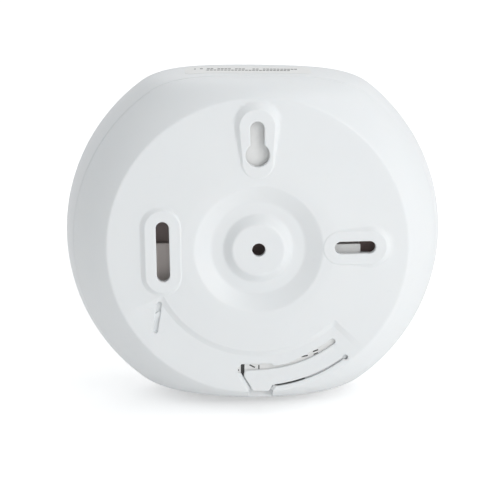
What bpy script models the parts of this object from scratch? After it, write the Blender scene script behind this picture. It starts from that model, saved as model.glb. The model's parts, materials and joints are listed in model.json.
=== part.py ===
"""Round ten-year smoke alarm on its deep-dish mounting base.

The alarm is modelled in a mounting frame and then stood on its edge:
  local x  to the right, seen from the room
  local y  up, towards the flat that carries the date label
  local z  the distance from the wall plane into the room
An empty turns that frame by +90 degrees about X and centres it on its depth,
so in the world the wall plane is y = DEPTH / 2, the room side faces -Y and the
date label faces +Z. The world origin is the alarm's centre, on its axis.
Sizes are in millimetres and MM turns them into metres. Angles are in degrees,
anticlockwise from local x. "Rear" is the wall side, "front" the room side.
"""

import math

import bmesh
import bpy
from mathutils import Matrix, Vector

MM = 0.001

# ---------------------------------------------------------- shared dimensions
RING_R = 58.0  # largest radius of the body
RING_Z = 28.0
REAR_SWEEP = 41.5  # radial half axis of the elliptic rear flare
REAR_DEPTH = 36.0  # its axial half axis
FRONT_ROUND = 14.0  # radius of the front shoulder
FLAT_HEIGHT = 48.6  # height of the two flats at FLAT_Z
FLAT_Z = 5.0
FLAT_DRAFT = math.radians(5.5)
FLAT_FRONT_SLOPE = 0.03  # inward slope of the flats in front of the ring
FLAT_BLEND = 5.0  # width of the soft edge between a flat and the flare
DEPTH = 48.15  # from the wall plane to the front of the cap
SEAM_Z = 15.0  # joint line between base and alarm
SEAM_GAP = 0.3
WALL = 2.0
SMOOTH_ANGLE = 32.0  # edges sharper than this are shaded sharp
SEGMENTS = 48

ARM_ROOT = -128.0  # direction of the latch arm's root
ARM_ROOT_R = 39.0
SECTOR_Z = 1.7  # floor of the sunk sector, and rear of the latch arm
LUG_ANGLES = (45.0, 135.0, 225.0, 315.0)
SCREW_R = 49.3
SCREW_ANGLES = (50.0, 170.0, 310.0)
FLANGE_Z = (15.3, 18.3)
RIB_R, RIB_ANGLE = 36.06, -33.1  # drive rib of the power switch

BOARD_Z = (26.6, 28.2)
BOARD_GAP = 0.3  # between the board and what sits on it
REAR_MOUNT = BOARD_Z[0] - BOARD_GAP
FRONT_MOUNT = BOARD_Z[1] + BOARD_GAP
POST_R = 38.6
POST_ANGLES = (100.0, 205.0, 352.0)

# Centres of the main parts, (x, y).
CHAMBER = (-14.0, 0.0)
SOUNDER = (26.0, 8.0)
SWITCH = (8.0, -12.0)
PIPE = (0.0, 27.0)
TRANSFORMER = (18.0, 14.0)
CAPACITOR = (-14.0, 16.0)
CELL_CENTRE = (0.0, -20.0, 17.6)
CELL_R = 8.5

for old in list(bpy.data.objects):
    bpy.data.objects.remove(old, do_unlink=True)


# ------------------------------------------------------------------ materials
def material(name, colour, roughness, metallic=0.0, alpha=1.0):
    made = bpy.data.materials.new(name)
    made.use_nodes = True
    shader = made.node_tree.nodes["Principled BSDF"]
    shader.inputs["Base Color"].default_value = (*colour, 1.0)
    shader.inputs["Roughness"].default_value = roughness
    shader.inputs["Metallic"].default_value = metallic
    shader.inputs["Alpha"].default_value = alpha
    made.diffuse_color = (*colour, alpha)
    return made


SHELL = material("shell_white", (0.86, 0.87, 0.86), roughness=0.42)
BASE = material("base_white", (0.85, 0.86, 0.85), roughness=0.45)
BUTTON = material("button_white", (0.87, 0.88, 0.87), roughness=0.38)
LABEL = material("label_paper", (0.90, 0.90, 0.89), roughness=0.6)
BLACK = material("black_plastic", (0.02, 0.02, 0.022), roughness=0.6)
GREEN = material("circuit_board", (0.03, 0.16, 0.07), roughness=0.45)
STEEL = material("steel", (0.62, 0.62, 0.63), roughness=0.3, metallic=1.0)
MESH = material("mesh_steel", (0.5, 0.5, 0.51), roughness=0.35, metallic=1.0)
BRASS = material("brass", (0.72, 0.55, 0.25), roughness=0.3, metallic=1.0)
CERAMIC = material("piezo_ceramic", (0.88, 0.86, 0.8), roughness=0.5)
CLEAR = material("clear_acrylic", (0.85, 0.9, 0.88), roughness=0.1, alpha=0.5)
CELL = material("cell_sleeve", (0.10, 0.13, 0.35), roughness=0.35)
CHIP = material("chip_black", (0.03, 0.03, 0.03), roughness=0.4)
CAN = material("can_sleeve", (0.08, 0.08, 0.10), roughness=0.35)
COPPER = material("copper", (0.72, 0.35, 0.2), roughness=0.3, metallic=1.0)


# --------------------------------------------------------------- body surface
def body_radius(z):
    """Outer radius of the round body at z."""
    if z <= RING_Z:
        t = (RING_Z - z) / REAR_DEPTH
        return RING_R - REAR_SWEEP * (1 - math.sqrt(max(0.0, 1 - t * t)))
    t = min(1.0, (z - RING_Z) / FRONT_ROUND)
    return RING_R - FRONT_ROUND * (1 - math.sqrt(1 - t * t))


def flat_height(z):
    """Height of the flats above and below the axis."""
    height = FLAT_HEIGHT + (min(z, RING_Z) - FLAT_Z) * math.tan(FLAT_DRAFT)
    return height - max(0.0, z - RING_Z) * FLAT_FRONT_SLOPE


def trim_at_flats(radius, z, angle, inset):
    """Radius pulled in where the flats cut it, with a soft edge."""
    rise = abs(math.sin(angle))
    if inset is None or rise < 1e-6:
        return radius
    limit = (flat_height(z) - inset) / rise
    over = max(FLAT_BLEND - abs(radius - limit), 0.0) / FLAT_BLEND
    return min(radius, limit) - over * over * FLAT_BLEND / 4


# ------------------------------------------------------------------- outlines
def at_angle(x, y, degrees):
    """The point (x, y) turned about the axis."""
    cosine, sine = math.cos(math.radians(degrees)), math.sin(math.radians(degrees))
    return (x * cosine - y * sine, x * sine + y * cosine)


def rotated(outline, degrees):
    return [at_angle(x, y, degrees) for x, y in outline]


def rectangle(x0, x1, y0, y1):
    return [(x0, y0), (x1, y0), (x1, y1), (x0, y1)]


def circle(x, y, radius, segments, start=0.0):
    """Outline of a circle; start is its first point's angle in radians."""
    angles = [start + 2 * math.pi * i / segments for i in range(segments)]
    return [(x + radius * math.cos(a), y + radius * math.sin(a)) for a in angles]


def stadium(x0, y0, x1, y1, radius, end_radius=None, steps=12):
    """Outline round two circles; end_radius is the second one's radius."""
    end_radius = radius if end_radius is None else end_radius
    along = math.atan2(y1 - y0, x1 - x0)
    lean = math.acos((radius - end_radius) / math.hypot(x1 - x0, y1 - y0))
    points = []
    for i in range(steps + 1):
        angle = along + lean + (2 * math.pi - 2 * lean) * i / steps
        points.append((x0 + radius * math.cos(angle), y0 + radius * math.sin(angle)))
    for i in range(steps + 1):
        angle = along - lean + 2 * lean * i / steps
        points.append((x1 + end_radius * math.cos(angle), y1 + end_radius * math.sin(angle)))
    return points


def arc(radius, start, end, steps):
    angles = [math.radians(start + (end - start) * i / steps) for i in range(steps + 1)]
    return [(radius * math.cos(a), radius * math.sin(a)) for a in angles]


def sector(inner, outer, start, end, steps):
    return arc(inner, start, end, steps) + arc(outer, end, start, steps)


# --------------------------------------------------------------------- shapes
def bridge(loops, shape=None):
    """Joins equal loops of points into a capped solid, added to shape if given."""
    shape = shape or bmesh.new()
    rings = [[shape.verts.new(point) for point in loop] for loop in loops]
    count = len(rings[0])
    for near, far in zip(rings, rings[1:]):
        for i in range(count):
            j = (i + 1) % count
            shape.faces.new((near[i], near[j], far[j], far[i]))
    shape.faces.new(reversed(rings[0]))
    shape.faces.new(rings[-1])
    return shape


def prism(outline, z0, z1, end_outline=None, shape=None):
    """Extrudes an outline from z0 to z1; end_outline replaces it at z1."""
    end_outline = end_outline or outline
    loops = [[(x, y, z0) for x, y in outline], [(x, y, z1) for x, y in end_outline]]
    return bridge(loops, shape)


def box(x0, x1, y0, y1, z0, z1):
    return prism(rectangle(x0, x1, y0, y1), z0, z1)


def turned(profile, centre=(0, 0), segments=SEGMENTS):
    """Spins (radius, z) or (radius, z, inset) points about the axis at centre.

    A profile that starts and ends on the axis makes a solid of revolution; any
    other profile is a closed ring section. A point with an inset is trimmed
    that far inside the flats.
    """
    shape = bmesh.new()
    rings = []
    for radius, z, *inset in profile:
        if radius < 1e-9:
            rings.append([shape.verts.new((*centre, z))])
            continue
        ring = []
        for i in range(segments):
            angle = 2 * math.pi * i / segments
            trimmed = trim_at_flats(radius, z, angle, inset[0] if inset else None)
            x = centre[0] + trimmed * math.cos(angle)
            y = centre[1] + trimmed * math.sin(angle)
            ring.append(shape.verts.new((x, y, z)))
        rings.append(ring)
    pairs = list(zip(rings, rings[1:]))
    if len(rings[0]) > 1:
        pairs.append((rings[-1], rings[0]))
    for near, far in pairs:
        for i in range(segments):
            j = (i + 1) % segments
            if len(near) == 1:
                shape.faces.new((near[0], far[j], far[i]))
            elif len(far) == 1:
                shape.faces.new((near[i], near[j], far[0]))
            else:
                shape.faces.new((near[i], near[j], far[j], far[i]))
    return shape


# -------------------------------------------------------------------- objects
def empty(name, parent=None, location=(0, 0, 0), rotation=(0, 0, 0)):
    made = bpy.data.objects.new(name, None)
    bpy.context.scene.collection.objects.link(made)
    made.parent = parent
    made.location = [value * MM for value in location]
    made.rotation_euler = rotation
    return made


def new_object(name, shape, finish=None):
    """An unparented object from a shape in millimetres."""
    bmesh.ops.transform(shape, matrix=Matrix.Scale(MM, 4), verts=shape.verts)
    bmesh.ops.recalc_face_normals(shape, faces=shape.faces)
    mesh = bpy.data.meshes.new(name)
    shape.to_mesh(mesh)
    shape.free()
    made = bpy.data.objects.new(name, mesh)
    bpy.context.scene.collection.objects.link(made)
    if finish:
        mesh.materials.append(finish)
    return made


def boolean(target, shape, operation):
    """Applies one Boolean to an unparented target."""
    helper = new_object("helper", shape)
    step = target.modifiers.new(operation.lower(), "BOOLEAN")
    step.object = helper
    step.operation = operation
    step.solver = "EXACT"
    bpy.context.view_layer.update()
    graph = bpy.context.evaluated_depsgraph_get()
    mesh = bpy.data.meshes.new_from_object(target.evaluated_get(graph))
    target.modifiers.remove(step)
    old_mesh = target.data
    target.data = mesh
    mesh.name = target.name
    bpy.data.meshes.remove(old_mesh)
    bpy.data.objects.remove(helper, do_unlink=True)


def cut(target, shape):
    boolean(target, shape, "DIFFERENCE")


def add(target, shape):
    boolean(target, shape, "UNION")


def place(piece, parent, origin=(0, 0, 0)):
    """Shades and parents a finished piece; origin is the parent's place."""
    piece.data.transform(Matrix.Translation(-Vector(origin) * MM))
    piece.parent = parent
    piece.data.shade_smooth()
    piece.data.set_sharp_from_angle(angle=math.radians(SMOOTH_ANGLE))


def simple_piece(name, shape, finish):
    """A piece of the alarm that needs no Boolean."""
    place(new_object(name, shape, finish), twist_axis)


# ------------------------------------------------------------- frame and axes
LATCH_ORIGIN = (*at_angle(ARM_ROOT_R, 0, ARM_ROOT), 0.0)
BUTTON_ORIGIN = (0, 0, 44.0)
PLUNGER_ORIGIN = (*SWITCH, 31.7)

wall_frame = empty("wall_frame", None, (0, DEPTH / 2, 0), (math.pi / 2, 0, 0))
twist_axis = empty("twist_axis", wall_frame)
latch_pivot = empty("latch_pivot", wall_frame, LATCH_ORIGIN)
power_axis = empty("power_axis", twist_axis)
button_guide = empty("button_guide", twist_axis, BUTTON_ORIGIN)
plunger_guide = empty("plunger_guide", twist_axis, PLUNGER_ORIGIN)

# -------------------------------------------------------------- mounting base
PLATE_CUT = (-2, 8)  # z range of a cut right through the plate
SLOT_X = 28.1  # distance of both plain screw slots from the centre
UPRIGHT_SLOT = (3.8, 18.0)  # width, length; on the +x side
LEVEL_SLOT = (3.7, 12.2)  # width, length; on the -x side
LEVEL_PAD_HALF = 4.3
KEY_HEAD = (28.1, 3.45)  # y of the keyhole's head hole, radius
KEY_SLOT = (35.8, 2.05)  # y of its slot's top arc centre, radius
CENTRE_HOLE_R = 1.95
PAD_Z = (0.0, 2.0)
FLARE_Z = (4.0, 6.5, 9.0, 12.0, SEAM_Z - SEAM_GAP)
# (radius, z, inset from the flats) on either side of the flared skirt
PLATE_REAR = [
    (0, 0.5), (8.3, 0.5), (10.2, 1.95), (11.2, 2.15), (13.4, 2.15), (14.5, 1.85),
    (18.1, 0.4), (19.4, 0.15), (22.5, 0.15), (42.8, 1.64), (44.3, 2.05), (45.7, 2.9, 0.0),
]
PLATE_FRONT = [
    (45.0, 4.6, 2.4), (42.6, 3.95), (24.0, 2.4), (19.2, 2.4), (15.0, 4.1), (9.8, 4.2),
    (7.6, 2.4), (0, 2.4),
]
# (x, y) of the latch opening's end and release pocket
RELEASE_POCKET = [
    (5.65, -34.9), (5.75, -38.2), (6.5, -38.2), (3.4, -43.7), (3.4, -48.9), (-3.7, -48.9),
    (-3.7, -42.25),
]


def cut_screw_slots(plate):
    upright_half = (UPRIGHT_SLOT[1] - UPRIGHT_SLOT[0]) / 2
    level_half = (LEVEL_SLOT[1] - LEVEL_SLOT[0]) / 2
    upright_ends = (SLOT_X, upright_half, SLOT_X, -upright_half)
    pad_ends = (-SLOT_X - LEVEL_PAD_HALF, 0, -SLOT_X + LEVEL_PAD_HALF, 0)
    # Raised pads: stadium at the wall plane, wider stadium at the foot.
    pads = (
        ((0, 36.0, 0, 26.5, 5.0, 4.6), (0, 36.4, 0, 26.5, 6.5, 5.0)),
        ((*upright_ends, 5.3), (*upright_ends, 6.5)),
        ((*pad_ends, 5.0), (*pad_ends, 6.2)),
    )
    for crest, foot in pads:
        add(plate, prism(stadium(*crest), *PAD_Z, stadium(*foot)))

    # sunk sector round the latch, with sloping ends
    rear_edge = sector(31.4, 46.6, -135.3, -25.2, 16)
    floor_edge = sector(32.6, 46.6, -133.8, -26.7, 16)
    cut(plate, prism(rear_edge, -1.0, SECTOR_Z, floor_edge))

    head_y, head_radius = KEY_HEAD
    slot_y, slot_radius = KEY_SLOT
    for outline in (
        stadium(*upright_ends, UPRIGHT_SLOT[0] / 2),
        stadium(-SLOT_X - level_half, 0, -SLOT_X + level_half, 0, LEVEL_SLOT[0] / 2),
        circle(0, head_y, head_radius, 20),
        stadium(0, slot_y, 0, head_y, slot_radius),
    ):
        cut(plate, prism(outline, *PLATE_CUT))


def build_mounting_base():
    outside = [(body_radius(z), z, 0.0) for z in FLARE_Z]
    inside = [(body_radius(z) - WALL, z, WALL) for z in reversed(FLARE_Z[1:])]
    plate = new_object(
        "mounting_base", turned(PLATE_REAR + outside + inside + PLATE_FRONT), BASE
    )
    # central boss, level with the pads, and its screw hole
    add(plate, prism(circle(0, 0, 7.2, 24), 0.0, 1.2, circle(0, 0, 8.9, 24)))
    cut(plate, prism(circle(0, 0, CENTRE_HOLE_R, 12, start=0.2), *PLATE_CUT))
    cut_screw_slots(plate)
    # blind slit behind the drive rib
    slit = stadium(29.5, -15.9, 30.8, -23.6, 0.65, steps=6)
    cut(plate, prism(slit, -1.0, SECTOR_Z + 1.0))
    # opening for the latch arm, its two slots and the release pocket
    opening = (
        arc(35.35, ARM_ROOT - 0.4, -82.0, 12)
        + RELEASE_POCKET
        + arc(42.4, -94.9, ARM_ROOT - 0.4, 9)
    )
    cut(plate, prism(opening, -1.0, 5.3))
    # bayonet ledges inside the skirt
    for angle in LUG_ANGLES:
        add(plate, prism(sector(46.6, 52.0, angle - 5.5, angle + 5.5, 3), 10.2, 12.0))
    # drive rib that moves the power slider
    rib = rectangle(RIB_R - 1.5, RIB_R + 1.5, -0.8, 0.8)
    add(plate, prism(rotated(rib, RIB_ANGLE), 3.2, 8.0))
    place(plate, wall_frame)


# ------------------------------------------------------------------ latch arm
ARM_INNER_R = 36.4
ARM_OUTER_R = 41.65
ARM_FRONT_Z = 3.9
ARM_TIP = [(2.55, -43.1), (2.1, -43.5), (-2.6, -43.5), (-3.15, -42.0)]


def build_latch_arm():
    root = ARM_ROOT + 0.35
    outline = (
        arc(ARM_INNER_R, root, -97.5, 9)
        + arc(37.25, -95.0, -82.8, 4)
        + ARM_TIP
        + arc(ARM_OUTER_R, -95.4, root, 9)
    )
    arm = new_object("latch_arm", prism(outline, SECTOR_Z, ARM_FRONT_Z), BASE)
    # latch tooth
    add(arm, box(-2.3, 2.1, -42.6, -39.6, 3.0, 8.9))
    place(arm, latch_pivot, LATCH_ORIGIN)


# --------------------------------------------------------------- rear housing
CUP_R = 45.5
CUP_Z = 6.5
CUP_INNER_R = 43.7
CUP_FLOOR_Z = 8.4
FLANGE_R = 52.9
SEAT_CLEARANCE = 0.3
SEAT_HALF_LENGTH = 18.6


def build_rear_housing():
    profile = [
        (0, CUP_Z),
        (44.7, CUP_Z),
        (CUP_R, CUP_Z + 0.8),
        (CUP_R, FLANGE_Z[0]),
        (FLANGE_R, FLANGE_Z[0], 2.4),
        (FLANGE_R + 0.2, FLANGE_Z[1], 2.4),
        (CUP_INNER_R, FLANGE_Z[1]),
        (CUP_INNER_R, CUP_FLOOR_Z),
        (0, CUP_FLOOR_Z),
    ]
    housing = new_object("rear_housing", turned(profile, segments=40), BASE)
    # bayonet lugs
    for angle in LUG_ANGLES:
        add(housing, prism(sector(44.4, 48.2, angle - 4.5, angle + 4.5, 3), 7.7, 9.7))
    # channel for the latch tooth, closed towards the room
    add(housing, prism(sector(36.2, 44.6, -82.5, -110.0, 5), 7.4, 11.6))
    cut(housing, prism(sector(37.6, 47.0, -84.5, -107.5, 5), 5.0, 9.9))
    # slot for the power slider, and the service window
    cut(housing, prism(sector(34.2, 38.2, -50.5, -27.5, 5), 5.0, 10.0))
    cut(housing, box(21.5, 35.0, 0.8, 11.5, 5.0, 10.0))
    # cradle ribs, hollowed to seat the cell
    for x in (-11.0, 11.0):
        add(housing, box(x - 0.8, x + 0.8, -27.5, -12.5, 7.8, 15.0))
    ring = circle(CELL_CENTRE[1], CELL_CENTRE[2], CELL_R + SEAT_CLEARANCE, 24)
    ends = (-SEAT_HALF_LENGTH, SEAT_HALF_LENGTH)
    cut(housing, bridge([[(x, y, z) for y, z in ring] for x in ends]))
    # bored posts for the circuit board
    for angle in POST_ANGLES:
        x, y = at_angle(POST_R, 0, angle)
        add(housing, prism(circle(x, y, 2.6, 16), 7.8, REAR_MOUNT))
        cut(housing, prism(circle(x, y, 1.15, 12), 16.0, BOARD_Z[0] + 1))
    # counterbored holes for the housing screws
    for angle in SCREW_ANGLES:
        x, y = at_angle(SCREW_R, 0, angle)
        cut(housing, prism(circle(x, y, 1.65, 12), 14.0, 20.0))
        cut(housing, prism(circle(x, y, 2.75, 16), 14.0, 17.0))
    place(housing, twist_axis)


def build_rating_label():
    """Label on the rear of the housing, with a notch and the service window."""
    outline = arc(37.0, -22.0, 304.0, 40) + arc(31.5, 304.0, 338.0, 5)
    label = new_object("rating_label", prism(outline, 5.85, 6.15), LABEL)
    cut(label, box(20.5, 40.0, 0.2, 12.3, 4.0, 8.0))
    place(label, twist_axis)


# --------------------------------------------------------------- power slider
def at_rib(x0, x1, y0, y1):
    """A rectangle laid out along the drive rib's radius."""
    return rotated(rectangle(x0, x1, y0, y1), RIB_ANGLE)


def build_power_slider():
    head = sector(33.0, 39.6, RIB_ANGLE - 6.0, RIB_ANGLE + 6.0, 3)
    neck = sector(34.55, 37.85, RIB_ANGLE - 4.6, RIB_ANGLE + 4.6, 3)
    slider = new_object("power_slider", prism(head, 8.8, 10.6), BLACK)
    add(slider, prism(neck, 6.75, 9.4))
    # fork that takes the drive rib
    cut(slider, prism(at_rib(33.9, 38.6, -1.15, 1.15), 6.0, 8.4))
    # stem towards the board
    add(slider, prism(at_rib(34.6, 37.6, -1.6, 1.6), 10.0, 24.6))
    place(slider, power_axis)

    wiper = new_object("slider_wiper", prism(at_rib(34.4, 37.8, -3.2, 3.2), 24.9, 25.2), COPPER)
    for y in (-2.6, 2.6):
        add(wiper, prism(at_rib(34.9, 37.3, y - 0.5, y + 0.5), 25.0, 26.3))
    place(wiper, power_axis)


# ---------------------------------------------------------------- front cover
INLET_R = 37.0  # outside of the smoke inlet wall
INLETS = 24
CAP_CUT = (44.0, 50.0)  # z range of a cut through the cap
COVER_Z = (SEAM_Z, 19.0, 23.5, RING_Z, 32.0, 35.6, 38.6, 40.9)
# (radius, z, inset) from the shoulder over the cap and back inside
COVER_CAP = [
    (44.0, 42.0, 0.0), (INLET_R, 42.0), (INLET_R, 45.0), (40.2, 45.0), (41.0, 45.7),
    (40.0, 46.7), (36.5, 47.35), (17.8, DEPTH), (17.4, 47.9), (17.4, 46.1), (34.9, 45.3),
    (34.9, 40.0), (43.6, 40.0, 2.0),
]
# (radius, z) down the inside of the wall
COVER_INSIDE = [
    (49.0, 38.8), (53.2, 35.6), (55.6, 31.0), (55.9, 25.0), (54.6, 19.0), (53.35, SEAM_Z),
]
# (y, half length between arc centres) of the sound outlet slots
SOUND_SLOTS = ((1.0, 4.0), (4.6, 5.2), (8.2, 5.6), (11.8, 5.0), (15.4, 3.4))


def build_front_cover():
    outside = [(body_radius(z), z, 0.0) for z in COVER_Z]
    inside = [(radius, z, WALL) for radius, z in COVER_INSIDE]
    cover = new_object("front_cover", turned(outside + COVER_CAP + inside), SHELL)
    # bosses that take the housing screws, tied to the wall by a web
    for angle in SCREW_ANGLES:
        x, y = at_angle(SCREW_R, 0, angle)
        add(cover, prism(circle(x, y, 3.1, 16), FLANGE_Z[1] + 0.3, 27.0))
        web = rectangle(51.5, 56.7, -1.0, 1.0)
        add(cover, prism(rotated(web, angle), 19.5, 26.5))
        cut(cover, prism(circle(x, y, 1.05, 12), 17.0, 25.0))
    # smoke inlets round the wall between the shoulder and the cap
    windows = bmesh.new()
    for i in range(INLETS):
        window = rotated(rectangle(33.5, 39.5, -2.9, 2.9), (i + 0.5) * 360 / INLETS)
        prism(window, 42.4, 44.6, shape=windows)
    cut(cover, windows)
    # sound outlet over the sounder, and the window of the light pipe
    for y, half in SOUND_SLOTS:
        slot = stadium(SOUNDER[0] - half, y, SOUNDER[0] + half, y, 0.85, steps=6)
        cut(cover, prism(slot, *CAP_CUT))
    cut(cover, prism(circle(*PIPE, 1.75, 16), *CAP_CUT))
    place(cover, twist_axis)


def build_date_label():
    """Label that lies just above the upper flat."""
    half_x, z0, z1 = 17.5, 18.6, 26.6
    loops = []
    for lift in (0.32, 0.62):
        rear_y, front_y = flat_height(z0) + lift, flat_height(z1) + lift
        loops.append([
            (-half_x, rear_y, z0), (half_x, rear_y, z0),
            (half_x, front_y, z1), (-half_x, front_y, z1),
        ])
    simple_piece("date_label", bridge(loops), LABEL)


# ---------------------------------------------------------------- test button
BUTTON_INSIDE_Z = 46.2
STEM_FRONT_Z = 46.6  # the stems end inside the button's face
BUTTON_PROFILE = [  # (radius, z)
    (0, 48.0), (10.0, 47.9), (15.8, 47.75), (16.8, 47.3), (17.05, 46.6), (17.05, 45.85),
    (18.9, 45.75), (18.9, 44.7), (15.6, 44.7), (15.4, BUTTON_INSIDE_Z), (0, BUTTON_INSIDE_Z),
]
SPRING_TURNS = 3.0
SPRING_WIRE_R = 0.25
SPRING_R = 4.6
SPRING_Z = (41.6, 44.5)
SPRING_STEPS = 36
SPRING_SIDES = 5


def build_test_button():
    button = new_object("test_button", turned(BUTTON_PROFILE, segments=32), BUTTON)
    add(button, prism(circle(*SWITCH, 1.7, 12), 33.35, STEM_FRONT_Z))
    add(button, prism(circle(0, 0, 5.4, 20), 44.95, STEM_FRONT_Z))
    place(button, button_guide, BUTTON_ORIGIN)


def build_button_spring():
    """Return spring between the chamber and the button."""
    path = []
    for i in range(SPRING_STEPS + 1):
        t = i / SPRING_STEPS
        angle = 2 * math.pi * SPRING_TURNS * t
        z = SPRING_Z[0] + (SPRING_Z[1] - SPRING_Z[0]) * t
        path.append(Vector((SPRING_R * math.cos(angle), SPRING_R * math.sin(angle), z)))
    loops = []
    for i, point in enumerate(path):
        ahead = path[min(i + 1, SPRING_STEPS)] - path[max(i - 1, 0)]
        ahead.normalize()
        side = ahead.cross(Vector((point.x, point.y, 0)).normalized()).normalized()
        out = side.cross(ahead)
        angles = [2 * math.pi * k / SPRING_SIDES for k in range(SPRING_SIDES)]
        loops.append(
            [point + SPRING_WIRE_R * (math.cos(a) * out + math.sin(a) * side) for a in angles]
        )
    simple_piece("button_spring", bridge(loops), STEEL)


# --------------------------------------------------- circuit board and screws
BOARD_R = 43.2


def build_circuit_board():
    rear, front = BOARD_Z
    profile = [(0, rear), (BOARD_R, rear), (BOARD_R, front), (0, front)]
    board = new_object("circuit_board", turned(profile), GREEN)
    for angle in POST_ANGLES:
        cut(board, prism(circle(*at_angle(POST_R, 0, angle), 1.5, 12), 25, 30))
    place(board, twist_axis)


def build_screws(name, ring_radius, angles, profile, slot_half, slot_z):
    """Slotted screws on a ring; slot_half is the slot's half size in x and y."""
    for number, angle in enumerate(angles, 1):
        x, y = at_angle(ring_radius, 0, angle)
        screw = new_object(f"{name}_{number}", turned(profile, (x, y), 10), STEEL)
        half_x, half_y = slot_half
        cut(screw, box(x - half_x, x + half_x, y - half_y, y + half_y, *slot_z))
        place(screw, twist_axis)


def build_all_screws():
    seat, head = FRONT_MOUNT, FRONT_MOUNT + 1.4
    board_screw = [(0, 20.0), (0.9, 21.0), (0.9, seat), (2.1, seat), (1.8, head), (0, head)]
    build_screws("board_screw", POST_R, POST_ANGLES, board_screw,
                 slot_half=(1.3, 0.22), slot_z=(seat + 0.8, seat + 2))
    housing_screw = [(0, 24.4), (0.8, 23.4), (0.8, 16.7), (2.4, 16.7), (2.1, 15.3), (0, 15.3)]
    build_screws("housing_screw", SCREW_R, SCREW_ANGLES, housing_screw,
                 slot_half=(1.5, 0.25), slot_z=(14, 15.9))


# ----------------------------------------------------- switch, chamber, horns
CHAMBER_R = 19.2
EMITTER_X, RECEIVER_X = -24.4, -5.0
OPTICS_Z = 31.3  # rear of the emitter and the photodiode
VANES = 16
VANE = [(14.2, -2.6), (17.6, -0.1), (17.6, 0.9), (15.9, 0.6), (14.2, -1.0)]  # (x, y)
# name, offset towards -x from the sounder's centre, z of the tip
SOUNDER_SPRINGS = (
    ("sounder_spring_centre", 0.0, 31.0),
    ("sounder_spring_feedback", 6.0, 31.0),
    ("sounder_spring_rim", 11.8, 31.6),
)


def build_tact_switch():
    x, y = SWITCH
    body = new_object("tact_switch", box(x - 3, x + 3, y - 3, y + 3, FRONT_MOUNT, 31.4), BLACK)
    cut(body, prism(circle(x, y, 1.85, 16), 30.0, 33.0))
    place(body, twist_axis)
    plunger = new_object("switch_plunger", prism(circle(x, y, 1.6, 14), 30.6, 32.4), BLACK)
    place(plunger, plunger_guide, PLUNGER_ORIGIN)


def build_chamber():
    rim = CHAMBER_R - 1.6
    base_profile = [
        (0, FRONT_MOUNT), (CHAMBER_R, FRONT_MOUNT), (CHAMBER_R, 30.6), (rim, 30.6),
        (rim, 30.1), (0, 30.1),
    ]
    base = new_object("chamber_base", turned(base_profile, CHAMBER, 32), BLACK)
    # open holders for the emitter and the photodiode
    for x in (EMITTER_X, RECEIVER_X):
        add(base, box(x - 2.6, x + 2.6, -3.4, 3.4, 29.8, 34.2))
        cut(base, box(x - 1.7, x + 1.7, -2.5, 2.5, 31.0, 36.0))
    place(base, twist_axis)

    cap_profile = [
        (0, 41.2), (5.0, 41.2), (CHAMBER_R - 0.6, 41.2), (CHAMBER_R, 40.6),
        (CHAMBER_R, 39.2), (0, 39.2),
    ]
    cap = new_object("chamber_cover", turned(cap_profile, CHAMBER, 32), BLACK)
    # labyrinth vanes that let smoke in and keep light out
    for i in range(VANES):
        vane = [(CHAMBER[0] + x, CHAMBER[1] + y) for x, y in rotated(VANE, 360 / VANES * i)]
        add(cap, prism(vane, 31.0, 39.6))
    place(cap, twist_axis)


def build_sounder_springs():
    y = SOUNDER[1]
    for name, offset, tip_z in SOUNDER_SPRINGS:
        x = SOUNDER[0] - offset
        foot = box(x - 0.6, x + 0.6, y - 1.2, y + 0.2, FRONT_MOUNT, 30.0)
        leaf = new_object(name, foot, COPPER)
        add(leaf, box(x - 0.6, x + 0.6, y - 0.4, y + 0.4, 29.6, tip_z))
        place(leaf, twist_axis)


# -------------------------------------------------------- cell, header, tables
CELL_PROFILE = [  # (radius, distance along x from the cell's centre)
    (0, -16.75), (7.6, -16.75), (CELL_R, -16.2), (CELL_R, 15.2), (7.6, 15.7), (3.2, 15.7),
    (3.0, 16.6), (0, 16.75),
]


def build_lithium_cell():
    """The cell is spun about z and then laid along x."""
    x, y, z = CELL_CENTRE
    shape = turned(CELL_PROFILE, segments=28)
    lay_down = Matrix(((0, 0, 1, x), (1, 0, 0, y), (0, 1, 0, z), (0, 0, 0, 1)))
    bmesh.ops.transform(shape, matrix=lay_down, verts=shape.verts)
    simple_piece("lithium_cell", shape, CELL)


def build_service_header():
    header = new_object("service_header", box(24.5, 32.0, 3.4, 8.4, 19.5, REAR_MOUNT), BLACK)
    cut(header, box(25.6, 30.9, 4.5, 7.3, 18.5, 23.5))
    place(header, twist_axis)


SOUNDER_R = 15.5
DISC_R = SOUNDER_R - 1.7
MESH_INNER_R, MESH_OUTER_R = CHAMBER_R + 0.35, CHAMBER_R + 0.75
CELL_Y = CELL_CENTRE[1]
TAB_Y = (CELL_Y - 2.5, CELL_Y + 2.5)

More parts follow.
